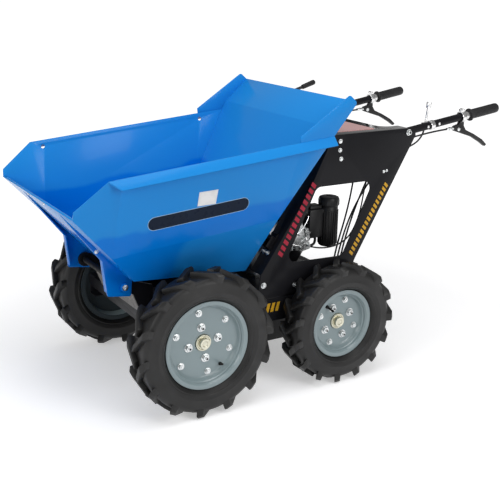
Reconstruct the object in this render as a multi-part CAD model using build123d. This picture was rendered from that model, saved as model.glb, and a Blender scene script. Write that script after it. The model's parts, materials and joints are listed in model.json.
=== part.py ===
from build123d import *
from math import atan2, cos, hypot, pi, sin, tan
import os

# A walk-behind site dumper: a folded steel skip that tips forward over a four-wheeled chassis, with
# a small engine between two side plates and two handlebars behind.
# Millimetres. +Z up from the ground, -Y is the end that the skip tips over, +X the machine's left.
# A pair in brackets is a place seen from the side, (y, z), unless its comment says otherwise.
# Round parts that are no bearing, pin or grip are drawn with flats, which keeps the model light.

# Sheet, plate and fits
SKIP_SHEET = 3.0
SIDE_SHEET = 4.0
FRAME_SHEET = 4.0
CONSOLE_SHEET = 2.5
SEAT_GAP = 0.3
PIN_GAP = 0.4
ROUND_SIDES = 16
SMALL_ROUND_SIDES = 12
SMALL_ROUND = 15.0

# Skip, outside faces
LIP_TIP = (-813.0, 654.0)
LIP_TOP = (-811.0, 678.0)
FRONT_TOP = (-712.0, 756.0)
RIM_REAR = (40.0, 822.0)
FOLD_FRONT = (-685.0, 518.0)
FOLD_REAR = (-143.0, 562.0)
FLOOR_FRONT = (-602.0, 423.0)
FLOOR_REAR = (-212.0, 384.0)
REAR_KINK = (30.0, 849.0)
SPLASH_TOP = (116.0, 926.0)
WALL_OVERHANG = 17.0
FOLD_HALF = 275.0
LOWER_TAPER = 0.444
RIM_HALF = 329.0
RIM_OUT = 22.0
RIM_DOWN = 25.0
RIM_MITRE = 30.0
HEM_DEPTH = 25.0
WING_FRONT_LOW_Y = -86.0
WING_FRONT_HIGH = (-88.0, 828.0)
WING_TOP = (94.0, 946.0)
WING_REAR = (124.0, 920.0)
WING_CORNER = 10.0
TIE_HOLE_RADIUS = 7.0
TIE_HOLE_DROP = 20.0
TIE_HOLE_Y = (-670.0, -81.0)

# Pivot of the skip
PIVOT = (-604.0, 386.0)
PIN_RADIUS = 10.0
PIN_HEAD_RADIUS = 14.0
PIN_HEAD = 8.0
BRACKET_X = 162.0
BRACKET_SHEET = 4.0
BRACKET_TIP_Y = -800.0
BRACKET_KNEE = (-671.0, 475.0)
BRACKET_LOW_FRONT = (-659.0, 364.0)
BRACKET_LOW_REAR = (-582.0, 352.0)
BRACKET_REAR_Y = -577.0
BRACKET_CORNER = 6.0
BRACKET_FLANGE = 22.0
EAR_GAP = 5.0
EAR_SHEET = 8.0
EAR_RADIUS = 24.0

# Wheels
TRACK_HALF = 330.0
FRONT_AXLE = (-426.0, 231.0)
REAR_AXLE = (83.0, 202.0)
FRONT_FLANGE_RADIUS = 141.0
REAR_FLANGE_RADIUS = 116.0
FRONT_RIM_HALF = 36.0
REAR_RIM_HALF = 31.0
FLANGE_HEIGHT = 14.0
RIM_SHEET = 3.5
DISC_RECESS = 31.0
DISC_SHEET = 4.0
BARREL_DROP = 7.0
HUB_BORE_RADIUS = 27.0
HUB_FLANGE_RADIUS = 64.0
HUB_FLANGE = 7.0
HUB_CAP_RADIUS = 17.0
HUB_CAP_REACH = 17.0
HUB_RING_RADIUS = 26.0
HUB_RING_REACH = 5.0
HUB_BOSS_RADIUS = 30.0
SPINDLE_RADIUS = 15.0

# Tyres: the tips of the lugs stand on the ground
TYRE_WIDTH = 105.0
TYRE_CLEARANCE = 11.5
FRONT_LUGS = 14
REAR_LUGS = 15
LUG_WIDTH = 23.0
LUG_HEIGHT = 14.0
LUG_OVERLAP = 5.0
LUG_SHOULDER = 9.0
LUG_SHOULDER_DROP = 12.0
LUG_SKIRT = 44.0
SIDEWALL_RISE = 18.0
CARCASS_INSET = 4.0
CARCASS_SHOULDER = 14.0

# Chassis
RAIL_OUTER_X = TRACK_HALF - TYRE_WIDTH / 2 - TYRE_CLEARANCE
RAIL_WIDTH = 44.0
RAIL_INNER_X = RAIL_OUTER_X - RAIL_WIDTH
RAIL_BOTTOM = 220.0
RAIL_TOP = 295.0
RAIL_FRONT_Y = -545.0
RAIL_REAR_Y = 225.0
UPSTAND_TOP = 350.0
UPSTAND_FRONT_Y = -180.0
UPSTAND_REAR_Y = 165.0
CROSS_HEIGHT = 40.0
CROSS_DEPTH = 40.0
FRONT_CROSS_Y = -525.0
REAR_CROSS_Y = 205.0
REST_CROSS_Y = -250.0
PAN_BOTTOM = 115.0
PAN_HALF = 190.0
PAN_LIP = 24.0
PAN_FRONT_Y = -380.0
PAN_REAR_Y = 40.0
NOSE_TOP = (-569.5, 353.0)
NOSE_BOTTOM = (-544.0, 286.0)
REST_PAD_HALF_GAP = 105.0
REST_PAD_WIDTH = 45.0

# Axles and gearbox
AXLE_TUBE_RADIUS = 32.0
AXLE_REACH = 2.0
SADDLE_HALF = 33.0
SADDLE_WIDTH = 32.0
SADDLE_GAP = 1.0
SPINDLE_DEPTH = 58.0
BORE_RUNOUT = 5.0
DIFF_HALF = (60.0, 55.0, 55.0)
DIFF_CORNER = 12.0
GEARBOX_HALF_X = 90.0
GEARBOX_FRONT_Y = -20.0
GEARBOX_REAR_Y = 185.0
GEARBOX_BOTTOM = 130.0
GEARBOX_TOP = 287.0
TUNNEL_RADIUS = 22.0

# Side plates, flush with the rails, seen from the side
SIDE_INNER_X = RAIL_OUTER_X - SIDE_SHEET
SIDE_OUTLINE = [
    (-192.0, 303.0),
    (-179.0, 384.0),
    (-8.0, 629.0),
    (85.0, 811.0),
    (415.0, 811.0),
    (431.0, 788.0),
    (193.0, 380.0),
    (170.0, 303.0),
]
CUT_OUT = [(-88.0, 410.0), (27.0, 648.0), (260.0, 647.0), (141.0, 402.0)]
SIDE_CORNER = 12.0
CUT_OUT_CORNER = 26.0
FLANGE_WIDTH = 60.0

# Console
CONSOLE_TOP = 811.0
CONSOLE_FRONT_Y = 92.0
CONSOLE_MIDDLE_Y = 330.0
CONSOLE_REAR_Y = 400.0
CONSOLE_ARM_WIDTH = 57.0
CONSOLE_SKIRT = 26.0
CONSOLE_NOTCH_CORNER = 40.0

# Handlebars: the two ends of the left tube's middle line, (x, y, z)
BAR_START = (SIDE_INNER_X - 22.0, 300.0, 780.4)
BAR_END = (SIDE_INNER_X - 4.0, 810.55, 854.6)
BAR_RADIUS = 13.0
BAR_WALL = 2.5
BAR_PLUG = 3.0
GRIP_RADIUS = 17.0
GRIP_LENGTH = 132.0
GRIP_FLANGE_RADIUS = 22.0
GRIP_FLANGE = 6.0
BAR_BUSH_RADIUS = 9.0
BAR_BUSH_Y = (330.0, 397.0)

# Hand levers
CLAMP_Y = 649.0
CLAMP_RADIUS = 19.0
CLAMP_WIDTH = 16.0
LEVER_OUTLINE = [
    (641.0, 820.0),
    (634.0, 806.0),
    (612.0, 800.0),
    (612.0, 785.0),
    (640.0, 776.0),
    (700.0, 757.0),
    (745.0, 733.0),
    (768.0, 718.0),
    (776.0, 724.0),
    (752.0, 744.0),
    (706.0, 768.0),
    (668.0, 784.0),
    (657.0, 800.0),
    (657.0, 822.0),
]
LEVER_THICKNESS = 12.0

# Gear lever
GEAR_ROD_RADIUS = 4.0
GEAR_ROD_INSET = 32.5
GEAR_ROD_LOW = (512.0, 792.0)
GEAR_ROD_HIGH = (527.0, 884.0)
GEAR_KNOB_RADIUS = 9.0
GEAR_KNOB_LENGTH = 20.0
GEAR_RING_RADIUS = 16.0
GEAR_STRAP = 6.0

# Engine
DECK_SHEET = 5.0
DECK_EDGE_GAP = 3.0
DECK_FRONT_Y = -175.0
DECK_REAR_Y = 180.0
CRANK_Z = 392.0
CASE_X = (-85.0, 60.0)
CASE_Y = (-80.0, 60.0)
CASE_TOP = 435.0
CASE_CORNER = 10.0
FOOT_REACH = 15.0
FOOT_HEIGHT = 14.0
CYLINDER_RISE = 25.0
CYLINDER_LIFT = 15.0
BARREL_WIDTH = 72.0
FIN_START = 36.0
FIN_COUNT = 6
FIN_PITCH = 11.0
FIN_SHEET = 4.0
FIN_SIZE = 104.0
FIN_SHORTER = 12.0
FIN_CORNER = 10.0
HEAD_LENGTH = 20.0
SHAFT_RADIUS = 11.0
SHAFT_LENGTH = 45.0
PULLEY_RADIUS = 38.0
PULLEY_WIDTH = 22.0
SHROUD_RADIUS = 92.0
SHROUD_REAR_Y = 118.0
SHROUD_EDGE = 10.0
RECOIL_RADIUS = 72.0
RECOIL_REAR_Y = 138.0
RECOIL_EDGE = 6.0
TANK_X = (-120.0, 70.0)
TANK_Y = (-70.0, 100.0)
TANK_Z = (505.0, 585.0)
TANK_CORNER = 18.0
TANK_EDGE = 10.0
TANK_CAP_RADIUS = 28.0
TANK_CAP_HEIGHT = 16.0
TANK_CAP_X = -50.0
TANK_LEG_X = (-75.0, -50.0)
TANK_LEG_DEPTH = 14.0
TANK_LEG_INSET = 20.0
MUFFLER_X = (-185.0, -100.0)
MUFFLER_Y = (-75.0, 45.0)
MUFFLER_Z = (400.0, 485.0)
MUFFLER_CORNER = 12.0
EXHAUST_RADIUS = 14.0
EXHAUST_RISE = 18.0
CARB_X = (84.0, 132.0)
CARB_Y = (42.0, 90.0)
CARB_Z = (425.0, 478.0)
CARB_CORNER = 5.0
BOWL_RADIUS = 20.0
BOWL_DEPTH = 26.0
CLEANER_X = 125.0
CLEANER_Y = 182.0
CLEANER_BOTTOM = 398.0
CLEANER_TOP = 540.0
CLEANER_RADIUS = 33.0
CLEANER_RIB_COUNT = 4
CLEANER_RIB = 6.0
CLEANER_RIB_DEPTH = 2.5
CLEANER_CAP_RADIUS = 36.0
CLEANER_CAP_TOP = 571.0
CLEANER_CAP_EDGE = 6.0
DUCT_Z = 520.0
DUCT_RADIUS = 17.0
DUCT_BEND = 19.0

# Cables: routes of sheathed cable, (x, y, z), each from its lever down to the drive under the deck
CABLE_RADIUS = 3.0
CABLE_SIDES = 6
DECK_TOP = RAIL_TOP + DECK_SHEET
LEFT_CABLE = [
    (252, 612, 792),
    (252, 530, 792),
    (222, 325, 748),
    (206, 236, 560),
    (206, 172, 360),
    (206, 172, DECK_TOP),
]
RIGHT_CABLE = [
    (-252, 612, 792),
    (-252, 530, 792),
    (-170, 365, 768),
    (120, 305, 764),
    (176, 236, 560),
    (174, 172, 360),
    (174, 172, DECK_TOP),
]
GEAR_CABLE = [
    (215, 511.5, 791.5),
    (215, 503, 745),
    (200, 375, 716),
    (191, 236, 550),
    (190, 172, 360),
    (190, 172, DECK_TOP),
]


def offset_line(points, distance):
    """The points of an open line moved to its left by distance, mitred at the corners."""
    normals = []
    for (a, b), (c, d) in zip(points, points[1:]):
        length = hypot(c - a, d - b)
        normals.append(((b - d) / length, (c - a) / length))
    moved = []
    for (a, b), n, m in zip(points, normals[:1] + normals, normals + normals[-1:]):
        scale = distance / (1 + n[0] * m[0] + n[1] * m[1])
        moved.append((a + scale * (n[0] + m[0]), b + scale * (n[1] + m[1])))
    return moved


def sheet_outline(points, thickness):
    """The closed outline of a folded sheet that has the line as one face."""
    return points + offset_line(points, thickness)[::-1]


def filled(points, radius=0):
    """A flat face on the drawing plane, with all its corners rounded where a radius is given."""
    face = Polygon(*points, align=None)
    return fillet(face.vertices(), radius) if radius else face


def rounded(radius):
    """A circle drawn with flats, its corners on the radius; a small one has fewer."""
    return RegularPolygon(radius, SMALL_ROUND_SIDES if radius < SMALL_ROUND else ROUND_SIDES)


def across(face, x_start, x_end):
    """A face drawn in side view, (y, z), made solid from one X to another."""
    return extrude(Plane.YZ.offset(x_start) * face, x_end - x_start, dir=(1, 0, 0))


def lengthwise(face, y_start, y_end):
    """A face drawn in front view, (x, z), made solid from one Y to another."""
    return extrude(Plane.XZ.offset(-y_start) * face, y_end - y_start, dir=(0, 1, 0))


def upright(face, z_start, z_end):
    """A face drawn in plan, (x, y), made solid from one Z to another."""
    return extrude(Plane.XY.offset(z_start) * face, z_end - z_start, dir=(0, 0, 1))


def block(x, y, z, corner=0):
    """A box between three pairs of limits, its edges cut at an angle where a corner is given."""
    plan = [(x[0], y[0]), (x[1], y[0]), (x[1], y[1]), (x[0], y[1])]
    solid = upright(filled(plan), *z)
    return chamfer(solid.edges(), corner) if corner else solid


def rod_x(radius, x_start, x_end, centre):
    """A true round bar along X at a place in side view."""
    return across(Pos(*centre) * Circle(radius), x_start, x_end)


def both_sides(part):
    """A piece and its mirror image on the machine's other side, as one."""
    return part + mirror(part, Plane.YZ)


def point_along(start, end, share):
    """A place in side view at a share of the way from one place to another."""
    return (start[0] + share * (end[0] - start[0]), start[1] + share * (end[1] - start[1]))


def height_on(start, end, y):
    """Height at y of the straight line through two places in side view."""
    return point_along(start, end, (y - start[0]) / (end[0] - start[0]))[1]


# Skip

SKIP_LENGTH = SPLASH_TOP[0] - LIP_TIP[0]


def slope_plane(start, end):
    """A plane at the first place, square to the line to the second; its own Y points up."""
    tilt = atan2(end[1] - start[1], end[0] - start[0])
    return Plane(origin=(0, *start), x_dir=(1, 0, 0), z_dir=(0, -cos(tilt), -sin(tilt)))


def wall_line():
    """Outside of the left wall square to its long fold, from below the fold to above it."""
    plane = slope_plane(FOLD_FRONT, FOLD_REAR)
    rim = plane.to_local_coords(Vector(0, *RIM_REAR)).Y
    up = SPLASH_TOP[1] - FOLD_FRONT[1]
    down = FOLD_REAR[1] - FLOOR_REAR[1] + WALL_OVERHANG
    flare = (RIM_HALF - FOLD_HALF) / rim
    return [(FOLD_HALF - LOWER_TAPER * down, -down), (FOLD_HALF, 0.0), (FOLD_HALF + flare * up, up)]


def along_fold(face):
    return extrude(slope_plane(FOLD_FRONT, FOLD_REAR) * face, SKIP_LENGTH, both=True)


def between_walls():
    """The space inside the two side walls, which trims the sheets that stand between them."""
    left = offset_line(wall_line(), SKIP_SHEET)
    right = [(-x, h) for x, h in left[::-1]]
    return along_fold(filled(left + right))


def full_width(points, half=SKIP_LENGTH / 2):
    """An outline in side view made solid from one side of the machine to the other."""
    return across(filled(points), -half, half)


def rear_sheet(**limits):
    outline = sheet_outline([FLOOR_REAR, FOLD_REAR, REAR_KINK, SPLASH_TOP], -SKIP_SHEET)
    return full_width(outline, **limits)


def make_skip_floor(inside):
    """The sloping front and the floor in one sheet, with the front edge folded back on itself."""
    run = hypot(FLOOR_REAR[0] - FLOOR_FRONT[0], FLOOR_REAR[1] - FLOOR_FRONT[1])
    tail = point_along(FLOOR_FRONT, FLOOR_REAR, 1 + SKIP_SHEET / 2 / run)
    sheet = full_width(sheet_outline([LIP_TIP, FLOOR_FRONT, tail], SKIP_SHEET))
    inner = offset_line([LIP_TIP, FLOOR_FRONT], SKIP_SHEET)
    spout = hypot(inner[1][0] - inner[0][0], inner[1][1] - inner[0][1])
    hem = full_width(sheet_outline([inner[0], point_along(*inner, HEM_DEPTH / spout)], SKIP_SHEET))
    return (sheet + hem - rear_sheet()) & inside


def make_skip_rear_wall(inside):
    """The rear wall, its splash guard leaning back, between the side walls and the wings."""
    return rear_sheet(half=RIM_HALF - SKIP_SHEET) & inside


def make_skip_wall():
    foot_y = FLOOR_REAR[0] + WALL_OVERHANG
    outline = [
        LIP_TIP,
        LIP_TOP,
        FRONT_TOP,
        RIM_REAR,
        (FOLD_REAR[0] + WALL_OVERHANG, FOLD_REAR[1]),
        (foot_y, height_on(FLOOR_FRONT, FLOOR_REAR, foot_y)),
        FLOOR_FRONT,
    ]
    sheet = along_fold(filled(sheet_outline(wall_line(), SKIP_SHEET)))
    sheet &= across(filled(outline), 0, SKIP_LENGTH / 2)
    for y in TIE_HOLE_Y:
        spot = (y, height_on(FRONT_TOP, RIM_REAR, y) - TIE_HOLE_DROP)
        sheet -= across(Pos(*spot) * rounded(TIE_HOLE_RADIUS), 0, SKIP_LENGTH / 2)
    return sheet + make_rim_fold()


def make_rim_fold():
    """The strip along the top of the wall, folded out and down, with a mitred front end."""
    far = RIM_HALF + RIM_OUT
    line = [(RIM_HALF - SKIP_SHEET, 0.0), (RIM_HALF, 0.0), (far, -RIM_DOWN)]
    face = slope_plane(FRONT_TOP, RIM_REAR) * filled(sheet_outline(line, -SKIP_SHEET))
    strip = extrude(face, SKIP_LENGTH, both=True)
    plan = [
        (FOLD_HALF, FRONT_TOP[0]),
        (RIM_HALF, FRONT_TOP[0]),
        (far, FRONT_TOP[0] + RIM_MITRE),
        (far, RIM_REAR[0]),
        (FOLD_HALF, RIM_REAR[0]),
    ]
    return strip & upright(filled(plan), FOLD_FRONT[1], SPLASH_TOP[1])


def make_wing():
    outline = [
        (WING_FRONT_LOW_Y, height_on(FRONT_TOP, RIM_REAR, WING_FRONT_LOW_Y)),
        WING_FRONT_HIGH,
        WING_TOP,
        WING_REAR,
        RIM_REAR,
    ]
    face = filled(outline)
    high = face.vertices().sort_by(Axis.Y)[-2:]
    return across(fillet(high, WING_CORNER), RIM_HALF - SKIP_SHEET, RIM_HALF)


def make_pivot_bracket():
    """The plate under the skip that the pin goes through, with its front edge folded inward."""
    tip = (BRACKET_TIP_Y, height_on(LIP_TIP, FLOOR_FRONT, BRACKET_TIP_Y))
    outline = [
        tip,
        BRACKET_KNEE,
        BRACKET_LOW_FRONT,
        BRACKET_LOW_REAR,
        (BRACKET_REAR_Y, height_on(FLOOR_FRONT, FLOOR_REAR, BRACKET_REAR_Y)),
        FLOOR_FRONT,
    ]
    outer = BRACKET_X + BRACKET_SHEET / 2
    face = filled(outline)
    low = face.vertices().sort_by(Axis.Y)[:2]
    plate = across(fillet(low, BRACKET_CORNER), outer - BRACKET_SHEET, outer)
    plate -= rod_x(PIN_RADIUS + PIN_GAP, 0, 2 * BRACKET_X, PIVOT)
    flange_end = point_along(BRACKET_KNEE, BRACKET_LOW_FRONT, 0.9)
    flange = filled(sheet_outline([tip, BRACKET_KNEE, flange_end], BRACKET_SHEET))
    below_floor = filled([tip, BRACKET_KNEE, BRACKET_LOW_FRONT, FLOOR_FRONT])
    return plate + across(flange & below_floor, outer - BRACKET_FLANGE, outer)


# Wheels


def turned_in_flats(profile, sides):
    """A profile of (x, radius to a corner) carried round the X axis in flats."""
    half = pi / sides
    wide = 1.1 * max(radius for _, radius in profile)
    spread = wide * tan(half)
    ends = [x for x, _ in profile]
    bar = lengthwise(filled([(x, radius * cos(half)) for x, radius in profile]), -spread, spread)
    wedge = bar & across(filled([(0, 0), (spread, wide), (-spread, wide)]), min(ends), max(ends))
    return wedge.fuse(*[Rot(X=360 * i / sides) * wedge for i in range(1, sides)])


def on_axle(part, axle):
    return Pos(TRACK_HALF, *axle) * part


def make_lug(top, lean):
    """One lug on top of a tyre: from the middle of the tread out and back to the left shoulder."""
    half = TYRE_WIDTH / 2
    shoulder = half - LUG_SHOULDER
    middle = (shoulder - LUG_OVERLAP) / 2
    corners = ((-LUG_OVERLAP, -1), (half, -1), (half, 1), (-LUG_OVERLAP, 1))
    plan = [(x, lean * (x - middle) + way * LUG_WIDTH / 2) for x, way in corners]
    root = top - LUG_HEIGHT - LUG_SHOULDER
    section = [
        (-LUG_OVERLAP, root),
        (-LUG_OVERLAP, top),
        (shoulder, top),
        (half, top - LUG_SHOULDER_DROP),
        (half - 2 * CARCASS_INSET, top - LUG_SKIRT),
        (shoulder - CARCASS_SHOULDER, root),
    ]
    reach = TYRE_WIDTH
    return upright(filled(plan), 0, 2 * top) & lengthwise(filled(section), -reach, reach)


def make_tyre(axle, flange_radius, rim_half, lugs):
    """A carcass with leaning lugs in two staggered rows, their tips evenly spaced round the tyre."""
    pitch = 2 * pi / lugs
    tip_radius = axle[1] / cos(pitch / 8)
    top = tip_radius * cos(3 * pitch / 8)
    lug_half = (TYRE_WIDTH / 2 - LUG_SHOULDER + LUG_OVERLAP) / 2
    lean = (tip_radius * sin(3 * pitch / 8) - LUG_WIDTH / 2) / lug_half
    tread = top - LUG_HEIGHT
    side = TYRE_WIDTH / 2 - CARCASS_INSET
    seat_face = rim_half - RIM_SHEET - SEAT_GAP
    half_profile = [
        (seat_face, flange_radius - FLANGE_HEIGHT + SEAT_GAP),
        (seat_face, flange_radius + SEAT_GAP),
        (side, flange_radius + SIDEWALL_RISE),
        (side, tread - CARCASS_SHOULDER),
        (side - CARCASS_SHOULDER, tread),
    ]
    profile = half_profile + [(-x, radius) for x, radius in half_profile[::-1]]
    tyre = turned_in_flats(profile, 2 * lugs)
    left = make_lug(top, lean)
    right = Rot(X=180 / lugs) * mirror(left, Plane.YZ)
    row = [Rot(X=180 + 360 * i / lugs) * lug for i in range(lugs) for lug in (left, right)]
    return on_axle(tyre.fuse(*row), axle)


def disc_face(rim_half):
    """How far the outside of the wheel disc stands out from the middle of the tyre."""
    return rim_half - DISC_RECESS


def make_rim(axle, flange_radius, rim_half, lugs):
    """The rim and its disc, with as many flats as the tyre that sits on it."""
    seat = flange_radius - FLANGE_HEIGHT
    inside = seat - RIM_SHEET
    disc = disc_face(rim_half)
    profile = [
        (rim_half, flange_radius),
        (rim_half - RIM_SHEET, flange_radius),
        (rim_half - RIM_SHEET, seat),
        (RIM_SHEET - rim_half, seat),
        (RIM_SHEET - rim_half, flange_radius),
        (-rim_half, flange_radius),
        (-rim_half, inside),
        (disc - DISC_SHEET, inside - BARREL_DROP),
        (disc - DISC_SHEET, HUB_BORE_RADIUS),
        (disc, HUB_BORE_RADIUS),
        (disc, inside - BARREL_DROP),
        (rim_half, inside),
    ]
    return on_axle(turned_in_flats(profile, 2 * lugs), axle)


def make_hub(axle, rim_half):
    """Spindle, flange behind the wheel disc, and the ring and cap that stand out through it."""
    disc = disc_face(rim_half)
    back = disc - DISC_SHEET
    boss_end = RAIL_OUTER_X + 3 * AXLE_REACH - TRACK_HALF
    spindle_end = boss_end - SPINDLE_DEPTH
    profile = [
        (spindle_end, 0),
        (spindle_end, SPINDLE_RADIUS),
        (boss_end, SPINDLE_RADIUS),
        (boss_end, HUB_BOSS_RADIUS),
        (back - HUB_FLANGE, HUB_BOSS_RADIUS),
        (back - HUB_FLANGE, HUB_FLANGE_RADIUS),
        (back, HUB_FLANGE_RADIUS),
        (back, HUB_RING_RADIUS),
        (disc + HUB_RING_REACH, HUB_RING_RADIUS),
        (disc + HUB_RING_REACH, HUB_CAP_RADIUS),
        (disc + HUB_CAP_REACH, HUB_CAP_RADIUS),
        (disc + HUB_CAP_REACH, 0),
    ]
    return on_axle(turned_in_flats(profile, ROUND_SIDES), axle)


# Chassis


def make_rails():
    """Two channels, open to the inside, that stop above the axle tubes, with bolting upstands."""
    channel = [
        (RAIL_INNER_X, RAIL_BOTTOM),
        (RAIL_OUTER_X, RAIL_BOTTOM),
        (RAIL_OUTER_X, RAIL_TOP),
        (RAIL_INNER_X, RAIL_TOP),
    ]
    rail = lengthwise(filled(sheet_outline(channel, FRAME_SHEET)), RAIL_FRONT_Y, RAIL_REAR_Y)
    for y, z in (FRONT_AXLE, REAR_AXLE):
        half = SADDLE_HALF + SADDLE_GAP
        rail -= block((0, TRACK_HALF), (y - half, y + half), (0, z + AXLE_TUBE_RADIUS + SADDLE_GAP))
    upstand = block(
        (SIDE_INNER_X - FRAME_SHEET, SIDE_INNER_X),
        (UPSTAND_FRONT_Y, UPSTAND_REAR_Y),
        (RAIL_TOP, UPSTAND_TOP),
    )
    return both_sides(rail + upstand)


def cross_member(middle_y, half_x, bottom):
    return block(
        (-half_x, half_x),
        (middle_y - CROSS_DEPTH / 2, middle_y + CROSS_DEPTH / 2),
        (bottom, bottom + CROSS_HEIGHT),
    )


def make_belly_pan():
    """The pan under the gearbox, hung from the rails by its two outward lips."""
    top = RAIL_BOTTOM - FRAME_SHEET
    inner = RAIL_INNER_X + FRAME_SHEET
    line = [
        (-inner - PAN_LIP, top),
        (-inner, top),
        (-PAN_HALF, PAN_BOTTOM),
        (PAN_HALF, PAN_BOTTOM),
        (inner, top),
        (inner + PAN_LIP, top),
    ]
    return lengthwise(filled(sheet_outline(line, FRAME_SHEET)), PAN_FRONT_Y, PAN_REAR_Y)


def ear_x():
    """The two faces of the left plate that carries the skip's pin, outer first."""
    outer = BRACKET_X - BRACKET_SHEET / 2 - EAR_GAP
    return outer, outer - EAR_SHEET


def make_ear():
    """The left one of the two plates that carry the skip's pivot pin."""
    outer, inner = ear_x()
    rear = FRONT_CROSS_Y + CROSS_DEPTH / 2
    outline = [
        (PIVOT[0], PIVOT[1] + EAR_RADIUS),
        (PIVOT[0] - EAR_RADIUS, PIVOT[1]),
        NOSE_TOP,
        NOSE_BOTTOM,
        (NOSE_BOTTOM[0], RAIL_TOP - CROSS_HEIGHT),
        (rear, RAIL_TOP - CROSS_HEIGHT),
        (rear, PIVOT[1] - EAR_RADIUS / 2),
    ]
    ear = across(filled(outline), inner, outer)
    ear += across(Pos(*PIVOT) * rounded(EAR_RADIUS), inner, outer)
    return ear - rod_x(PIN_RADIUS, 0, 2 * BRACKET_X, PIVOT)


def make_main_frame():
    frame = make_rails()
    cross_half = RAIL_OUTER_X - FRAME_SHEET
    for y in (FRONT_CROSS_Y, REAR_CROSS_Y):
        frame += cross_member(y, cross_half, RAIL_TOP - FRAME_SHEET - CROSS_HEIGHT)
    frame += cross_member(REST_CROSS_Y, cross_half, RAIL_TOP)
    frame += both_sides(make_ear())
    nose = filled(sheet_outline([NOSE_TOP, NOSE_BOTTOM], FRAME_SHEET))
    nose_half = ear_x()[1] + EAR_SHEET / 2
    return frame + across(nose, -nose_half, nose_half)


def make_pivot_pin():
    reach = BRACKET_X + BRACKET_SHEET / 2 + PIN_GAP
    head = across(Pos(*PIVOT) * rounded(PIN_HEAD_RADIUS), reach, reach + PIN_HEAD)
    return rod_x(PIN_RADIUS, -reach, reach, PIVOT) + both_sides(head)


def make_skip_rest():
    """Two rubber pads under the skip's floor, where it rests when it is down."""
    rear = REST_CROSS_Y + CROSS_DEPTH / 2
    pad = block(
        (REST_PAD_HALF_GAP, REST_PAD_HALF_GAP + REST_PAD_WIDTH),
        (rear - CROSS_DEPTH, rear),
        (RAIL_TOP + CROSS_HEIGHT, height_on(FLOOR_FRONT, FLOOR_REAR, rear) - SEAT_GAP),
    )
    return both_sides(pad)


def axle_arm(axle, inner_x):
    """One end of an axle: a tube with a block that bolts up into the rail, bored for the spindle."""
    y, z = axle
    end = RAIL_OUTER_X + AXLE_REACH
    tube = across(Pos(y, z) * rounded(AXLE_TUBE_RADIUS), inner_x, end)
    saddle_inner = RAIL_INNER_X + FRAME_SHEET
    saddle = block(
        (saddle_inner, saddle_inner + SADDLE_WIDTH),
        (y - SADDLE_HALF, y + SADDLE_HALF),
        (z, RAIL_TOP - FRAME_SHEET),
    )
    bore = across(Pos(y, z) * rounded(SPINDLE_RADIUS + PIN_GAP), end - SPINDLE_DEPTH - BORE_RUNOUT, end)
    return tube + saddle - bore


def make_front_axle():
    y, z = FRONT_AXLE
    dx, dy, dz = DIFF_HALF
    middle = block((-dx, dx), (y - dy, y + dy), (z - dz, z + dz), DIFF_CORNER)
    return middle + both_sides(axle_arm(FRONT_AXLE, dx - DIFF_CORNER))


def make_rear_axle():
    return both_sides(axle_arm(REAR_AXLE, GEARBOX_HALF_X))


def make_gearbox():
    """The drive box over the rear axle, with the tube of the shaft that drives the front one."""
    box = block(
        (-GEARBOX_HALF_X, GEARBOX_HALF_X),
        (GEARBOX_FRONT_Y, GEARBOX_REAR_Y),
        (GEARBOX_BOTTOM, GEARBOX_TOP),
    )
    front_end = FRONT_AXLE[0] + DIFF_HALF[1]
    return box + lengthwise(Pos(0, FRONT_AXLE[1]) * rounded(TUNNEL_RADIUS), front_end, GEARBOX_FRONT_Y)


def make_side_plate():
    """A flat plate with a large window, its front edge folded inward."""
    face = filled(SIDE_OUTLINE)
    high = face.vertices().sort_by(Axis.Y)[-3:]
    face = fillet(high, SIDE_CORNER) - filled(CUT_OUT, CUT_OUT_CORNER)
    outer = SIDE_INNER_X + SIDE_SHEET
    plate = across(face, SIDE_INNER_X, outer)
    flange = filled(sheet_outline(SIDE_OUTLINE[1:4], -SIDE_SHEET))
    return plate + across(flange, SIDE_INNER_X - FLANGE_WIDTH, outer - SIDE_SHEET / 2)


def make_console():
    """The sheet over the side plates, with an arm along each handlebar and a skirt in front."""
    side = SIDE_INNER_X - SEAT_GAP
    plan = [
        (-side, CONSOLE_FRONT_Y),
        (side, CONSOLE_FRONT_Y),
        (side, CONSOLE_REAR_Y),
        (-side, CONSOLE_REAR_Y),
    ]
    inner = SIDE_INNER_X - CONSOLE_ARM_WIDTH
    notch = [
        (-inner, CONSOLE_MIDDLE_Y),
        (inner, CONSOLE_MIDDLE_Y),
        (inner, 2 * CONSOLE_REAR_Y),
        (-inner, 2 * CONSOLE_REAR_Y),
    ]
    cover = filled(plan) - filled(notch, CONSOLE_NOTCH_CORNER)
    top = upright(cover, CONSOLE_TOP - CONSOLE_SHEET, CONSOLE_TOP)
    skirt_half = SIDE_INNER_X - FLANGE_WIDTH - CONSOLE_SHEET
    skirt_y = (CONSOLE_FRONT_Y, CONSOLE_FRONT_Y + CONSOLE_SHEET)
    return top + block((-skirt_half, skirt_half), skirt_y, (CONSOLE_TOP - CONSOLE_SKIRT, CONSOLE_TOP))


# Controls


def bar_plane(share):
    """A plane square to the left handlebar's tube, at a share of the way along it."""
    start, end = Vector(*BAR_START), Vector(*BAR_END)
    return Plane(origin=start + (end - start) * share, z_dir=end - start, x_dir=(1, 0, 0))


def bar_plane_at(y):
    return bar_plane((y - BAR_START[1]) / (BAR_END[1] - BAR_START[1]))


def bar_length():
    return (Vector(*BAR_END) - Vector(*BAR_START)).length


def collar(plane, radius, width):
    """A clamp round the tube, centred on a plane square to it."""
    ring = rounded(radius) - rounded(BAR_RADIUS + SEAT_GAP)
    return extrude(plane * ring, width / 2, both=True)


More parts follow.
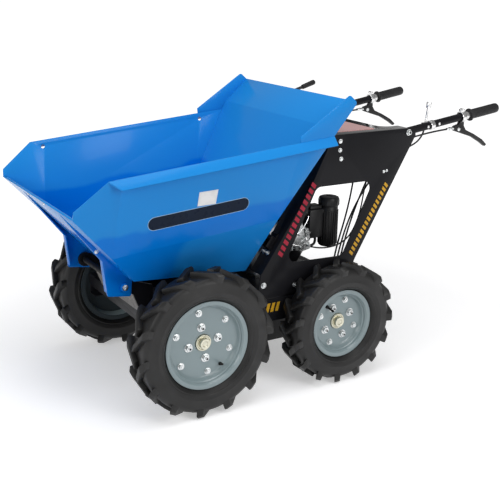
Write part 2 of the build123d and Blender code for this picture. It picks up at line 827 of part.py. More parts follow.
def make_handlebar():
    tube = extrude(bar_plane(0) * rounded(BAR_RADIUS), bar_length() - BAR_PLUG)
    for y in BAR_BUSH_Y:
        spot = bar_plane_at(y).origin
        tube += across(Pos(spot.Y, spot.Z) * rounded(BAR_BUSH_RADIUS), spot.X, SIDE_INNER_X)
    return tube - extrude(bar_plane(0) * rounded(BAR_RADIUS - BAR_WALL), bar_length() - BAR_PLUG)


def make_grip():
    start = bar_plane(1 - GRIP_LENGTH / bar_length())
    sleeve = extrude(start * Circle(GRIP_RADIUS), GRIP_LENGTH)
    flange = extrude(start * rounded(GRIP_FLANGE_RADIUS), GRIP_FLANGE)
    return sleeve + flange - extrude(start * rounded(BAR_RADIUS + SEAT_GAP), GRIP_LENGTH - BAR_PLUG)


def make_brake_lever():
    """The clamp round the tube, with the hand lever under it."""
    plane = bar_plane_at(CLAMP_Y)
    x = plane.origin.X
    lever = across(filled(LEVER_OUTLINE), x - LEVER_THICKNESS / 2, x + LEVER_THICKNESS / 2)
    room = extrude(plane * rounded(BAR_RADIUS + SEAT_GAP), GRIP_LENGTH, both=True)
    return collar(plane, CLAMP_RADIUS, CLAMP_WIDTH) + (lever - room)


def make_gear_lever():
    """A thin rod with a knob, on a strap that clamps to the left handlebar."""
    y, z = GEAR_ROD_LOW
    plane = bar_plane_at(y)
    foot = plane.origin.Z
    x = plane.origin.X - GEAR_ROD_INSET
    strap = block(
        (x - 2 * GEAR_ROD_RADIUS, plane.origin.X - BAR_RADIUS - CONSOLE_SHEET / 2),
        (y - CLAMP_WIDTH / 2, y + CLAMP_WIDTH / 2),
        (foot - GEAR_STRAP / 2, foot + GEAR_STRAP / 2),
    )
    rod_plane = Plane(origin=(x, y, z), z_dir=(0, GEAR_ROD_HIGH[0] - y, GEAR_ROD_HIGH[1] - z))
    length = hypot(GEAR_ROD_HIGH[0] - y, GEAR_ROD_HIGH[1] - z)
    rod = extrude(rod_plane * rounded(GEAR_ROD_RADIUS), length)
    knob_plane = rod_plane.offset(length - GEAR_KNOB_LENGTH)
    knob = extrude(knob_plane * rounded(GEAR_KNOB_RADIUS), GEAR_KNOB_LENGTH)
    return collar(plane, GEAR_RING_RADIUS, CLAMP_WIDTH) + strap + rod + knob


# Engine


def make_engine_deck():
    half = SIDE_INNER_X - FRAME_SHEET - DECK_EDGE_GAP
    return block((-half, half), (DECK_FRONT_Y, DECK_REAR_Y), (RAIL_TOP, DECK_TOP))


def cut_corners(width, height, corner):
    """A rectangle about the origin with its corners cut off."""
    face = Rectangle(width, height)
    return chamfer(face.vertices(), corner)


def make_engine_block():
    """Crankcase with a finned cylinder that leans to the left, and the drive pulley in front."""
    case = block(CASE_X, CASE_Y, (DECK_TOP + FOOT_HEIGHT, CASE_TOP), CASE_CORNER)
    foot_x = (CASE_X[0] - FOOT_REACH, CASE_X[1] + FOOT_REACH)
    case += block(foot_x, CASE_Y, (DECK_TOP, DECK_TOP + FOOT_HEIGHT))
    rise = CYLINDER_RISE * pi / 180
    lean = Plane(
        origin=(0, sum(CASE_Y) / 2, CRANK_Z + CYLINDER_LIFT),
        x_dir=(0, 1, 0),
        z_dir=(cos(rise), 0, sin(rise)),
    )
    fins_end = FIN_START + FIN_COUNT * FIN_PITCH
    barrel = cut_corners(BARREL_WIDTH, BARREL_WIDTH, BARREL_WIDTH / 4)
    case += extrude(lean * barrel, fins_end + HEAD_LENGTH)
    fin = cut_corners(FIN_SIZE, FIN_SIZE - FIN_SHORTER, FIN_CORNER)
    fin_planes = [lean.offset(FIN_START + i * FIN_PITCH) for i in range(FIN_COUNT)]
    case = case.fuse(*[extrude(plane * fin, FIN_SHEET) for plane in fin_planes])
    crank = Pos(sum(CASE_X) / 2, CRANK_Z)
    shaft_end = CASE_Y[0] - SHAFT_LENGTH
    case += lengthwise(crank * rounded(SHAFT_RADIUS), shaft_end, CASE_Y[0] + CASE_CORNER)
    pulley_end = shaft_end + SHAFT_RADIUS / 2
    return case + lengthwise(crank * rounded(PULLEY_RADIUS), pulley_end, pulley_end + PULLEY_WIDTH)


def drum(radius, y_start, y_end, edge):
    """A round cover about the crankshaft, with its rear rim cut at an angle."""
    spot = Pos(sum(CASE_X) / 2, CRANK_Z)
    solid = lengthwise(spot * rounded(radius), y_start, y_end)
    return chamfer(solid.edges().group_by(Axis.Y)[-1], edge)


def make_engine_shroud():
    """The fan's cover with the recoil starter on it."""
    shroud = drum(SHROUD_RADIUS, CASE_Y[1] + SEAT_GAP, SHROUD_REAR_Y, SHROUD_EDGE)
    return shroud + drum(RECOIL_RADIUS, SHROUD_REAR_Y - SHROUD_EDGE, RECOIL_REAR_Y, RECOIL_EDGE)


def make_fuel_tank():
    tank = block(TANK_X, TANK_Y, TANK_Z)
    tank = chamfer(tank.edges() | Axis.Z, TANK_CORNER)
    tank = chamfer(tank.edges().group_by(Axis.Z)[-1], TANK_EDGE)
    tank = chamfer(tank.edges().group_by(Axis.Z)[0], TANK_EDGE)
    cap = Pos(TANK_CAP_X, sum(TANK_Y) / 2) * rounded(TANK_CAP_RADIUS)
    tank += upright(cap, TANK_Z[1] - TANK_EDGE, TANK_Z[1] + TANK_CAP_HEIGHT)
    leg_z = (CASE_TOP, TANK_Z[0] + TANK_EDGE)
    front = CASE_Y[0] + TANK_LEG_INSET
    rear = CASE_Y[1] - TANK_LEG_INSET
    tank += block(TANK_LEG_X, (front, front + TANK_LEG_DEPTH), leg_z)
    return tank + block(TANK_LEG_X, (rear - TANK_LEG_DEPTH, rear), leg_z)


def make_muffler():
    pipe_spot = Pos(sum(MUFFLER_Y) / 2, MUFFLER_Z[0] + EXHAUST_RISE)
    pipe = across(pipe_spot * rounded(EXHAUST_RADIUS), MUFFLER_X[1] - MUFFLER_CORNER, CASE_X[0])
    return block(MUFFLER_X, MUFFLER_Y, MUFFLER_Z, MUFFLER_CORNER) + pipe


def make_carburettor():
    spot = Pos(sum(CARB_X) / 2, sum(CARB_Y) / 2)
    bowl = upright(spot * rounded(BOWL_RADIUS), CARB_Z[0] - BOWL_DEPTH, CARB_Z[0] + CARB_CORNER)
    return block(CARB_X, CARB_Y, CARB_Z, CARB_CORNER) + bowl


def make_air_cleaner():
    """The ribbed can, its cap, and the duct to the carburettor."""
    spot = Pos(CLEANER_X, CLEANER_Y)
    can = upright(spot * rounded(CLEANER_RADIUS), CLEANER_BOTTOM, CLEANER_TOP)
    step = (CLEANER_TOP - CLEANER_BOTTOM) / (CLEANER_RIB_COUNT + 1)
    rib = spot * rounded(CLEANER_RADIUS + CLEANER_RIB_DEPTH)
    for i in range(CLEANER_RIB_COUNT):
        middle = CLEANER_BOTTOM + (i + 1) * step
        can += upright(rib, middle - CLEANER_RIB / 2, middle + CLEANER_RIB / 2)
    cap = upright(spot * rounded(CLEANER_CAP_RADIUS), CLEANER_TOP, CLEANER_CAP_TOP)
    can += chamfer(cap.edges().group_by(Axis.Z)[-1], CLEANER_CAP_EDGE)
    carb_x = sum(CARB_X) / 2
    carb_y = sum(CARB_Y) / 2
    back = Vector(CLEANER_X, CLEANER_Y - CLEANER_RADIUS / 2, DUCT_Z)
    elbow = Vector(carb_x, carb_y, DUCT_Z)
    away = (back - elbow).normalized()
    turn = elbow + away * DUCT_BEND
    drop = elbow - Vector(0, 0, DUCT_BEND)
    path = Polyline(back, turn, drop, (carb_x, carb_y, CARB_Z[1]))
    mouth = Plane(back, z_dir=turn - back) * rounded(DUCT_RADIUS)
    return can + sweep(mouth, path, transition=Transition.RIGHT)


def bend_radii(points):
    """For each corner, the largest arc that leaves a tenth of its shorter run straight."""
    spots = [Vector(*point) for point in points]
    radii = []
    for before, here, after in zip(spots, spots[1:], spots[2:]):
        turn = (here - before).get_angle(after - here) * pi / 180
        shorter = min((here - before).length, (after - here).length)
        radii.append(0.45 * shorter / tan(turn / 2))
    return radii


def make_cable(points):
    """A cable of straight runs and tangent arcs along a route."""
    radii = bend_radii(points)
    path = FilletPolyline(*points, radius=radii)
    section = Plane(path @ 0, z_dir=path % 0) * RegularPolygon(CABLE_RADIUS, CABLE_SIDES)
    tube = sweep(section, path)
    share = round(tube.volume / (path.length * section.area), 3)
    print("cable", round(path.length), "radii", [round(r) for r in radii], "volume share", share)
    return tube


def make_cables():
    """The cables of the two hand levers and of the gear lever."""
    return make_cable(LEFT_CABLE) + make_cable(RIGHT_CABLE) + make_cable(GEAR_CABLE)


def write(node, part):
    export_step(part, f"parts/{node}.step")


def wheel_parts():
    """The parts of a left wheel, front and rear, by name."""
    wheels = {
        "front": (FRONT_AXLE, FRONT_FLANGE_RADIUS, FRONT_RIM_HALF, FRONT_LUGS),
        "rear": (REAR_AXLE, REAR_FLANGE_RADIUS, REAR_RIM_HALF, REAR_LUGS),
    }
    parts = {}
    for end, (axle, flange_radius, rim_half, lugs) in wheels.items():
        parts[f"{end}_tyre"] = make_tyre(axle, flange_radius, rim_half, lugs)
        parts[f"{end}_rim"] = make_rim(axle, flange_radius, rim_half, lugs)
        parts[f"{end}_hub"] = make_hub(axle, rim_half)
    return parts


def main():
    os.makedirs("parts", exist_ok=True)
    inside = between_walls()
    mirrored = {
        "skip_wall": make_skip_wall(),
        "skip_wing": make_wing(),
        "pivot_bracket": make_pivot_bracket(),
        "side_plate": make_side_plate(),
        "handlebar": make_handlebar(),
        "hand_grip": make_grip(),
        "brake_lever": make_brake_lever(),
        **wheel_parts(),
    }
    single = {
        "skip_floor": make_skip_floor(inside),
        "skip_rear_wall": make_skip_rear_wall(inside),
        "main_frame": make_main_frame(),
        "belly_pan": make_belly_pan(),
        "pivot_pin": make_pivot_pin(),
        "skip_rest": make_skip_rest(),
        "front_axle": make_front_axle(),
        "rear_axle": make_rear_axle(),
        "gearbox": make_gearbox(),
        "console": make_console(),
        "gear_lever": make_gear_lever(),
        "engine_deck": make_engine_deck(),
        "engine_block": make_engine_block(),
        "engine_shroud": make_engine_shroud(),
        "fuel_tank": make_fuel_tank(),
        "muffler": make_muffler(),
        "carburettor": make_carburettor(),
        "air_cleaner": make_air_cleaner(),
        "control_cable": make_cables(),
    }
    for node, part in mirrored.items():
        write(f"{node}_left", part)
        write(f"{node}_right", mirror(part, Plane.YZ))
    for node, part in single.items():
        write(node, part)


main()
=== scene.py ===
"""A site dumper dressed for a studio picture.

Adds the finishes, fasteners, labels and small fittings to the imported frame. Sizes are in metres, with
+X the machine's left, +Y towards the handlebars and +Z up.
"""

import json
from math import cos, pi, radians, sin

import bmesh
import bpy
from mathutils import Matrix, Vector
from mathutils.bvhtree import BVHTree


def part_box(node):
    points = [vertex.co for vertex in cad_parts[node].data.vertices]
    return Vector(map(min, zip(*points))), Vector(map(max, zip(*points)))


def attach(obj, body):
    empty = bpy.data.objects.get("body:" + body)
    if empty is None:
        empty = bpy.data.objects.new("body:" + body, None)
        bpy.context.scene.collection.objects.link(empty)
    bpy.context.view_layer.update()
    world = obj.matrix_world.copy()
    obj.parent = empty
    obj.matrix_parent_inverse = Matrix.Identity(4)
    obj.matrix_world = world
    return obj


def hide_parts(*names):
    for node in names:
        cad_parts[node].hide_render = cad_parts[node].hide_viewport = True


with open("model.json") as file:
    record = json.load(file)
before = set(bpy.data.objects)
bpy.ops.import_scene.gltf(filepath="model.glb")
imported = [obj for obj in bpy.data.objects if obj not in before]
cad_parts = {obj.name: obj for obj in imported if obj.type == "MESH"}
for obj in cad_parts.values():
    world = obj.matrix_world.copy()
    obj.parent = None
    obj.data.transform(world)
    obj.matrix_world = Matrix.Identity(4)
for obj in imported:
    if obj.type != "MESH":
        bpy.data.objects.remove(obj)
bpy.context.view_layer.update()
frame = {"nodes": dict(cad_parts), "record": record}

bl_info = {
    "name": "Site dumper dressing",
    "version": (1, 0, 0),
    "blender": (4, 5, 0),
    "location": "3D View > Sidebar > Dumper",
    "description": "Adds the finishes, fasteners, labels and small fittings of a walk-behind site dumper",
    "category": "Object",
}

SIDES = {"left": 1, "right": -1}


def colour_setting(name, description, default):
    return bpy.props.FloatVectorProperty(
        name=name, description=description, subtype="COLOR", size=3, default=default
    )


def length_setting(name, description, default):
    return bpy.props.FloatProperty(name=name, description=description, default=default, unit="LENGTH")


class DumperPaint(bpy.types.PropertyGroup):
    """Colours of the machine's finishes."""

    skip: colour_setting("Skip blue", "Paint of the skip", (0.0, 0.185, 0.68))
    black: colour_setting("Frame black", "Coat of the chassis and side plates", (0.010, 0.010, 0.012))
    wheel: colour_setting("Wheel grey", "Paint of the wheel rims", (0.235, 0.30, 0.315))
    tyre: colour_setting("Tyre black", "Rubber of the tyres", (0.0085, 0.0082, 0.0080))
    cap: colour_setting("Cap cream", "Plating of the wheel caps", (0.66, 0.64, 0.52))
    stripe_front: colour_setting("Front stripe", "Stripe along the front strut", (0.36, 0.006, 0.03))
    stripe_rear: colour_setting("Rear stripe", "Stripe along the rear strut", (0.62, 0.34, 0.02))


class DumperSizes(bpy.types.PropertyGroup):
    """Sizes of the small parts that are added."""

    bolt_radius: length_setting("Bolt head radius", "Radius of a plate bolt's domed head", 0.0075)
    wheel_nut: length_setting("Wheel nut radius", "Corner radius of a wheel nut", 0.0105)
    label_thickness: length_setting("Label thickness", "How far a label stands off its sheet", 0.0006)


# Materials: most of a noise's values lie between these two
NOISE_LOW = 0.3
NOISE_HIGH = 0.7


def nodes_of(name):
    """A new material, its node tree and its shader."""
    material = bpy.data.materials.new(name)
    material.use_nodes = True
    tree = material.node_tree
    return material, tree, tree.nodes["Principled BSDF"]


def add_node(tree, kind, **values):
    """A new node, with its sockets or settings given by name."""
    node = tree.nodes.new(kind)
    for key, value in values.items():
        if key in node.inputs:
            node.inputs[key].default_value = value
        else:
            setattr(node, key, value)
    return node


def object_place(tree):
    """The place on the object, which a pattern is fixed to."""
    return add_node(tree, "ShaderNodeTexCoord").outputs["Object"]


def noise(tree, scale, detail=3.0):
    """A cloudy value over the object."""
    node = add_node(tree, "ShaderNodeTexNoise", Scale=scale, Detail=detail)
    tree.links.new(object_place(tree), node.inputs["Vector"])
    return node.outputs["Fac"]


def spread(tree, source, low, high, start=NOISE_LOW, end=NOISE_HIGH):
    """A value that goes from low to high while its source goes from start to end."""
    limits = {"From Min": start, "From Max": end, "To Min": low, "To Max": high}
    node = add_node(tree, "ShaderNodeMapRange", **limits)
    tree.links.new(source, node.inputs["Value"])
    return node.outputs["Result"]


def two_tone(tree, source, *colours):
    """One colour where the source is low and another where it is high."""
    ramp = add_node(tree, "ShaderNodeValToRGB")
    for element, place, colour in zip(ramp.color_ramp.elements, (NOISE_LOW, NOISE_HIGH), colours):
        element.position = place
        element.color = (*colour, 1)
    tree.links.new(source, ramp.inputs["Fac"])
    return ramp.outputs["Color"]


def bump(tree, shader, source, distance, strength):
    node = add_node(tree, "ShaderNodeBump", Distance=distance, Strength=strength)
    tree.links.new(source, node.inputs["Height"])
    tree.links.new(node.outputs["Normal"], shader.inputs["Normal"])


def axis_value(tree, axis):
    """One of the three coordinates of a place on the object."""
    split = add_node(tree, "ShaderNodeSeparateXYZ")
    tree.links.new(object_place(tree), split.inputs[0])
    return split.outputs[axis]


def sum_of(tree, first, second, factor=1.0):
    """One value plus another times a factor."""
    node = add_node(tree, "ShaderNodeMath", operation="MULTIPLY_ADD")
    tree.links.new(second, node.inputs[0])
    node.inputs[1].default_value = factor
    tree.links.new(first, node.inputs[2])
    return node.outputs[0]


def combined(tree, operation, first, second):
    """Two values put together by one of the Math node's operations."""
    node = add_node(tree, "ShaderNodeMath", operation=operation)
    tree.links.new(first, node.inputs[0])
    tree.links.new(second, node.inputs[1])
    return node.outputs[0]


def shade(colour, factor):
    """A colour made lighter or darker by a factor."""
    return tuple(min(1.0, c * factor) for c in colour)


def surface(name, colour, tones, patches, roughness, wear, relief, sockets):
    """A finish whose colour, roughness and relief wander over the object.

    The tones are two factors of the colour, and the roughness goes between its two values. The patches
    and the wear are each a noise's scale and detail, and the relief adds its depth and its strength.
    """
    material, tree, shader = nodes_of(name)
    for socket, value in sockets.items():
        shader.inputs[socket].default_value = value
    tone = two_tone(tree, noise(tree, *patches), *(shade(colour, factor) for factor in tones))
    tree.links.new(tone, shader.inputs["Base Color"])
    tree.links.new(spread(tree, noise(tree, *wear), *roughness), shader.inputs["Roughness"])
    scale, detail, depth, strength = relief
    bump(tree, shader, noise(tree, scale, detail), depth, strength)
    return material


def paint(name, colour, roughness=0.25, coat=0.6, peel=0.00006, variation=0.08, gloss=0.5):
    """Gloss paint: a slight orange-peel surface and a faint change of colour over the sheet."""
    tones = (1 - variation, 1 + variation)
    rough = (roughness * 0.9, roughness * 1.1)
    sockets = {"Specular IOR Level": gloss, "Coat Weight": coat, "Coat Roughness": 0.06}
    return surface(name, colour, tones, (3.0,), rough, (12.0,), (260.0, 2.0, peel, 0.6), sockets)


# The skip's paint: its lighter tone, which is painted reflection, the line of its sides' fold at y = 0,
# the deeper band above it, which is painted reflection too, and the y behind which the lighter tone
# also reaches below the fold
SKIP_REFLECTION_TONE = (0.014, 0.255, 0.70, 1)
FOLD_SLOPE = 0.0812
FOLD_LEVEL = 0.5736
BAND_HEIGHT = 0.066
BAND_WAVE = 0.075
BAND_EDGE = 0.012
REFLECTION_FROM_Y = -0.43


def skip_paint(name, colour):
    """The skip's gloss paint, with a wavy deeper band above the fold of its sides, lighter above the band
    and towards the rear below the fold: painted reflections.
    """
    material = paint(name, colour, 0.22, 0.05, variation=0.04, gloss=0.13)
    tree = material.node_tree
    base = tree.nodes["Principled BSDF"].inputs["Base Color"]
    plain = base.links[0].from_socket
    wave = noise(tree, 5.0, 2.5)
    level = sum_of(tree, axis_value(tree, "Z"), axis_value(tree, "Y"), -FOLD_SLOPE)
    high = sum_of(tree, level, wave, -BAND_WAVE)
    start = FOLD_LEVEL + BAND_HEIGHT - BAND_WAVE / 2
    above = spread(tree, high, 0.0, 1.0, start, start + BAND_EDGE)
    below = spread(tree, level, 1.0, 0.0, FOLD_LEVEL - 0.001, FOLD_LEVEL + 0.001)
    behind = sum_of(tree, axis_value(tree, "Y"), wave, BAND_WAVE * 3)
    rear = spread(tree, behind, 0.0, 0.8, REFLECTION_FROM_Y + BAND_WAVE, REFLECTION_FROM_Y + BAND_WAVE + 0.04)
    # Painted reflection: the lighter tone above the band, and towards the rear below the fold
    painted_reflection = combined(tree, "MAXIMUM", above, combined(tree, "MULTIPLY", below, rear))
    lighter = add_node(tree, "ShaderNodeMix", data_type="RGBA", blend_type="MIX")
    lighter.inputs[7].default_value = SKIP_REFLECTION_TONE
    tree.links.new(painted_reflection, lighter.inputs[0])
    tree.links.new(plain, lighter.inputs[6])
    tree.links.new(lighter.outputs[2], base)
    return material


def metal(name, colour, roughness=0.3, grain=900.0, depth=0.00002, variation=0.12):
    """Plated or brushed metal with a fine grain and small changes of gloss."""
    tones = (1 - variation, 1 + variation)
    rough = (roughness * 0.75, roughness * 1.3)
    relief = (grain, 2.0, depth, 0.7)
    return surface(name, colour, tones, (40.0,), rough, (90.0,), relief, {"Metallic": 1.0})


def casting(name, colour, roughness, metallic):
    """Cast metal: a sandy surface whose tone and dullness wander."""
    rough = (roughness * 0.85, roughness * 1.15)
    relief = (700.0, 4.0, 0.00025, 0.6)
    return surface(name, colour, (0.75, 1.15), (55.0, 5.0), rough, (140.0,), relief, {"Metallic": metallic})


def plastic(name, colour, roughness, texture=0.00006, gloss=0.3, coat=0.0):
    """Moulded plastic with a fine spark-eroded texture."""
    rough = (roughness * 0.85, roughness * 1.15)
    relief = (1400.0, 2.0, texture, 0.7)
    sockets = {"Specular IOR Level": gloss, "Coat Weight": coat}
    return surface(name, colour, (0.9, 1.1), (25.0,), rough, (60.0,), relief, sockets)


def rubber(name, colour, roughness=0.5):
    """Moulded rubber: a soft bloom over black, and a fine skin."""
    rough = (roughness * 0.8, roughness * 1.15)
    relief = (420.0, 4.0, 0.00022, 0.7)
    sockets = {"Specular IOR Level": 0.42}
    return surface(name, colour, (0.7, 1.45), (9.0, 5.0), rough, (22.0, 4.0), relief, sockets)


def make_materials():
    """Every finish, by the name of its slot in the record or of its use here."""
    colours = bpy.context.scene.dumper_paint
    black = tuple(colours.black)
    return {
        # The skip's blue carries painted reflections
        "skip_paint": skip_paint("skip blue paint with painted reflections", tuple(colours.skip)),
        "black_paint": paint("frame black coat", black, 0.34, 0.0, peel=0.00009, variation=0.25, gloss=0.12),
        "console_paint": paint("console black coat", black, 0.12, 1.0, variation=0.2, gloss=0.7),
        "zinc_steel": metal("bright zinc", (0.72, 0.74, 0.74), 0.3),
        "pad_rubber": rubber("pad rubber", (0.02, 0.02, 0.02)),
        "gearbox_iron": casting("gearbox casting", (0.05, 0.05, 0.055), 0.5, 0.3),
        "grip_rubber": rubber("grip rubber", (0.014, 0.014, 0.015)),
        "lever_black": plastic("lever black coat", (0.014, 0.014, 0.015), 0.35),
        "bright_steel": metal("bright steel", (0.80, 0.80, 0.80), 0.18),
        "engine_alloy": casting("engine casting", (0.50, 0.51, 0.52), 0.45, 0.9),
        "shroud_paint": paint("shroud black", black, 0.4, 0.05, variation=0.2, gloss=0.25),
        "tank_paint": paint("tank black", black, 0.25, 0.2, variation=0.2, gloss=0.3),
        "muffler_steel": metal("muffler steel", (0.32, 0.31, 0.30), 0.5),
        "carb_alloy": casting("carburettor casting", (0.56, 0.60, 0.60), 0.35, 0.9),
        "cleaner_plastic": plastic("air cleaner plastic", (0.018, 0.018, 0.019), 0.42),
        "cable_black": plastic("cable sheath", (0.015, 0.015, 0.016), 0.4),
        "tyre": rubber("tyre rubber", tuple(colours.tyre)),
        "rim_paint": paint("wheel grey paint", tuple(colours.wheel), 0.32, 0.4, variation=0.06),
        "hub_cream": metal("cream plated cap", tuple(colours.cap), 0.35, variation=0.08),
        # Painted reflection: a grey metal for the nose, in place of the floor's reflection in its black
        "nose_plate": metal("nose plate painted reflection", (0.30, 0.29, 0.28), 0.5, grain=160.0, depth=0.0004),
        # Painted shade: the darker grey of the rims' inner faces
        "rim_back_shade": paint("rim back painted shade", (0.045, 0.058, 0.064), 0.5, 0.0, variation=0.3, gloss=0.15),
        # Painted reflection: a lighter blue for the strip along the skip's lip
        "lip_reflection_blue": paint("lip blue painted reflection", (0.20, 0.46, 0.78), 0.3, 0.3, variation=0.15),
        # Near-black for the tyre valves, and painted shade in the hub nuts' sockets, the rear bolts'
        # recesses and the pivot pin between its brackets
        "valve_black_and_shade": plastic("valve black and painted shade", (0.004, 0.004, 0.004), 0.6),
        "label_edge": plastic("pale label edge", (0.35, 0.55, 0.75), 0.3, 0.00001),
        "label_dark": plastic("dark label film", (0.006, 0.013, 0.03), 0.3, 0.00001, gloss=0.1),
        "label_white": plastic("white label film", (0.80, 0.80, 0.80), 0.3, 0.00001),
        # A red label lightened to pink; the pink is partly painted reflection
        "label_red": plastic("red label film with painted reflection", (0.92, 0.36, 0.34), 0.12, 0.00001, gloss=0.6, coat=1.0),
        "stripe_front": plastic("front stripe film", tuple(colours.stripe_front), 0.35, 0.00001),
        "stripe_rear": plastic("rear stripe film", tuple(colours.stripe_rear), 0.35, 0.00001),
    }


# The finishes, made when the first piece asks for one, and the record's slot of each node
MATERIALS = {}
SLOTS = {entry["node"]: entry["material_slot"] for entry in frame["record"]["subparts"]}


def material_for(slot_name):
    """The finish of a name; the first call makes them all."""
    if not MATERIALS:
        MATERIALS.update(make_materials())
    return MATERIALS[slot_name]


# Pieces: faces that meet at more than this show an edge
SHARP_ANGLE = radians(35)


def add_object(name, data):
    """A new object in the scene."""
    item = bpy.data.objects.new(name, data)
    bpy.context.scene.collection.objects.link(item)
    return item


def finish_piece(name, bm, body, slot_name, material_name=None, smooth=True):
    """Turns a bmesh into a piece that rides on a body."""
    bmesh.ops.remove_doubles(bm, verts=bm.verts, dist=0.000001)
    bmesh.ops.recalc_face_normals(bm, faces=bm.faces)
    if smooth is not None:
        for face in bm.faces:
            face.smooth = smooth
    mesh = bpy.data.meshes.new(name)
    bm.to_mesh(mesh)
    bm.free()
    mesh.materials.append(material_for(material_name or slot_name))
    piece = add_object(name, mesh)
    if smooth is not False:
        mesh.set_sharp_from_angle(angle=SHARP_ANGLE)
    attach(piece, body)
    return piece


def facing(place, direction):
    """The placing of a shape made along +Z, so that it stands at a place and points in a direction."""
    turn = Vector((0, 0, 1)).rotation_difference(Vector(direction))
    return Matrix.Translation(place) @ turn.to_matrix().to_4x4()


def add_round(bm, place, direction, radius, height, segments=24, bevel=0.0):
    """A round bar that starts at a place and rises in a direction, with its top edge eased."""
    made = bmesh.ops.create_cone(
        bm,
        cap_ends=True,
        segments=segments,
        radius1=radius,
        radius2=radius,
        depth=height,
        matrix=facing(place, direction) @ Matrix.Translation((0, 0, height / 2)),
    )
    if bevel:
        axis = Vector(direction).normalized()
        top = Vector(place) + axis * height
        edges = [
            e
            for e in {e for v in made["verts"] for e in v.link_edges}
            if all(abs((v.co - top).dot(axis)) < height * 0.01 for v in e.verts)
        ]
        bmesh.ops.bevel(bm, geom=edges, offset=bevel, segments=3, profile=0.5, affect="EDGES", material=-1)


def add_dome_bolt(bm, place, direction, radius):
    """A domed bolt head on its washer."""
    axis = Vector(direction).normalized()
    seat = Vector(place) + axis * radius * 0.18
    add_round(bm, place, axis, radius * 1.35, radius * 0.18, segments=24)
    add_round(bm, seat, axis, radius, radius * 0.65, segments=20, bevel=radius * 0.35)


def add_hex_bolt(bm, place, direction, radius, stud=0.0):
    """A hexagon head or nut on its washer, with a stud end where one is given."""
    axis = Vector(direction).normalized()
    seat = Vector(place) + axis * radius * 0.2
    top = Vector(place) + axis * radius
    add_round(bm, place, axis, radius * 1.3, radius * 0.2, segments=24)
    add_round(bm, seat, axis, radius, radius * 0.8, segments=6, bevel=radius * 0.1)
    if stud:
        add_round(bm, top, axis, radius * 0.5, stud, segments=16, bevel=radius * 0.1)


def add_box(bm, low, high, bevel=0.0):
    """A box between two corners, with its edges eased where a bevel is given."""
    size = Vector(high) - Vector(low)
    middle = (Vector(high) + Vector(low)) / 2
    matrix = Matrix.Translation(middle) @ Matrix.Diagonal((*size, 1))
    made = bmesh.ops.create_cube(bm, size=1.0, matrix=matrix)
    if bevel:
        edges = list({e for v in made["verts"] for e in v.link_edges})
        bmesh.ops.bevel(bm, geom=edges, offset=bevel, segments=2, profile=0.5, affect="EDGES", material=-1)


def add_plate(bm, points, thickness, direction):
    """A flat plate from its outline's points in space, thickened in a direction."""
    face = bm.faces.new([bm.verts.new(p) for p in points])
    grown = bmesh.ops.extrude_face_region(bm, geom=[face])
    moved = [v for v in grown["geom"] if isinstance(v, bmesh.types.BMVert)]
    bmesh.ops.translate(bm, verts=moved, vec=Vector(direction).normalized() * thickness)


def round_outline(corners, radius, steps=5):
    """Corners in a plane, as 2-D points, each rounded by an arc of a radius."""
    points = []
    count = len(corners)
    for i in range(count):
        a, b, c = (Vector(corners[(i + k) % count]) for k in (-1, 0, 1))
        before, after = (a - b).normalized(), (c - b).normalized()
        half = before.angle(after) / 2
        reach = radius / max(0.001, abs(sin(half) / cos(half)))
        start, end = b + before * reach, b + after * reach
        centre = b + (before + after).normalized() * radius / sin(half)
        for k in range(steps + 1):
            share = k / steps
            spot = (start * (1 - share) + end * share) - centre
            points.append(centre + spot.normalized() * radius)
    return points


def turn_of(x_axis, y_axis, z_axis):
    """The turn that lays a shape's own axes along three directions."""
    return Matrix((x_axis, y_axis, z_axis)).transposed().to_4x4()


def merge(bm, part, matrix):
    """Adds a finished part to another bmesh, turned and moved by a matrix."""
    mesh = bpy.data.meshes.new("part")
    part.to_mesh(mesh)
    start = len(bm.verts)
    bm.from_mesh(mesh)
    bpy.data.meshes.remove(mesh)
    bm.verts.ensure_lookup_table()
    bmesh.ops.transform(bm, matrix=matrix, verts=bm.verts[start:])


def ease_edges(bm, width, sharper_than):
    """Rounds every edge that is sharper than an angle in degrees, and gives the faces that it makes."""
    edges = [e for e in bm.edges if len(e.link_faces) == 2 and e.calc_face_angle(0) > radians(sharper_than)]
    made = bmesh.ops.bevel(
        bm,
        geom=edges,
        offset=width,
        segments=2,
        profile=0.5,
        affect="EDGES",
        material=-1,
        clamp_overlap=True,
    )
    return made["faces"]


def turned(profile, steps=72, ease=0.0):
    """A closed profile of (distance along, radius) spun about +Z; an end on the axis closes by itself."""
    part = bmesh.new()
    verts = [part.verts.new((radius, 0, along)) for along, radius in profile]
    edges = [part.edges.new(pair) for pair in zip(verts, verts[1:] + verts[:1])]
    if profile[0][1] == 0 and profile[-1][1] == 0:
        part.edges.remove(edges.pop())
    bmesh.ops.spin(
        part,
        geom=verts + edges,
        cent=(0, 0, 0),
        axis=(0, 0, 1),
        dvec=(0, 0, 0),
        angle=2 * pi,
        steps=steps,
        use_merge=True,
    )
    bmesh.ops.remove_doubles(part, verts=part.verts, dist=0.00001)
    bmesh.ops.recalc_face_normals(part, faces=part.faces)
    if ease:
        ease_edges(part, ease, 40.0)
    return part


def add_turned(bm, place, direction, profile, steps=72, ease=0.0):
    """A spun profile that starts at a place and goes on in a direction."""
    part = turned(profile, steps, ease)
    merge(bm, part, facing(place, direction))
    part.free()


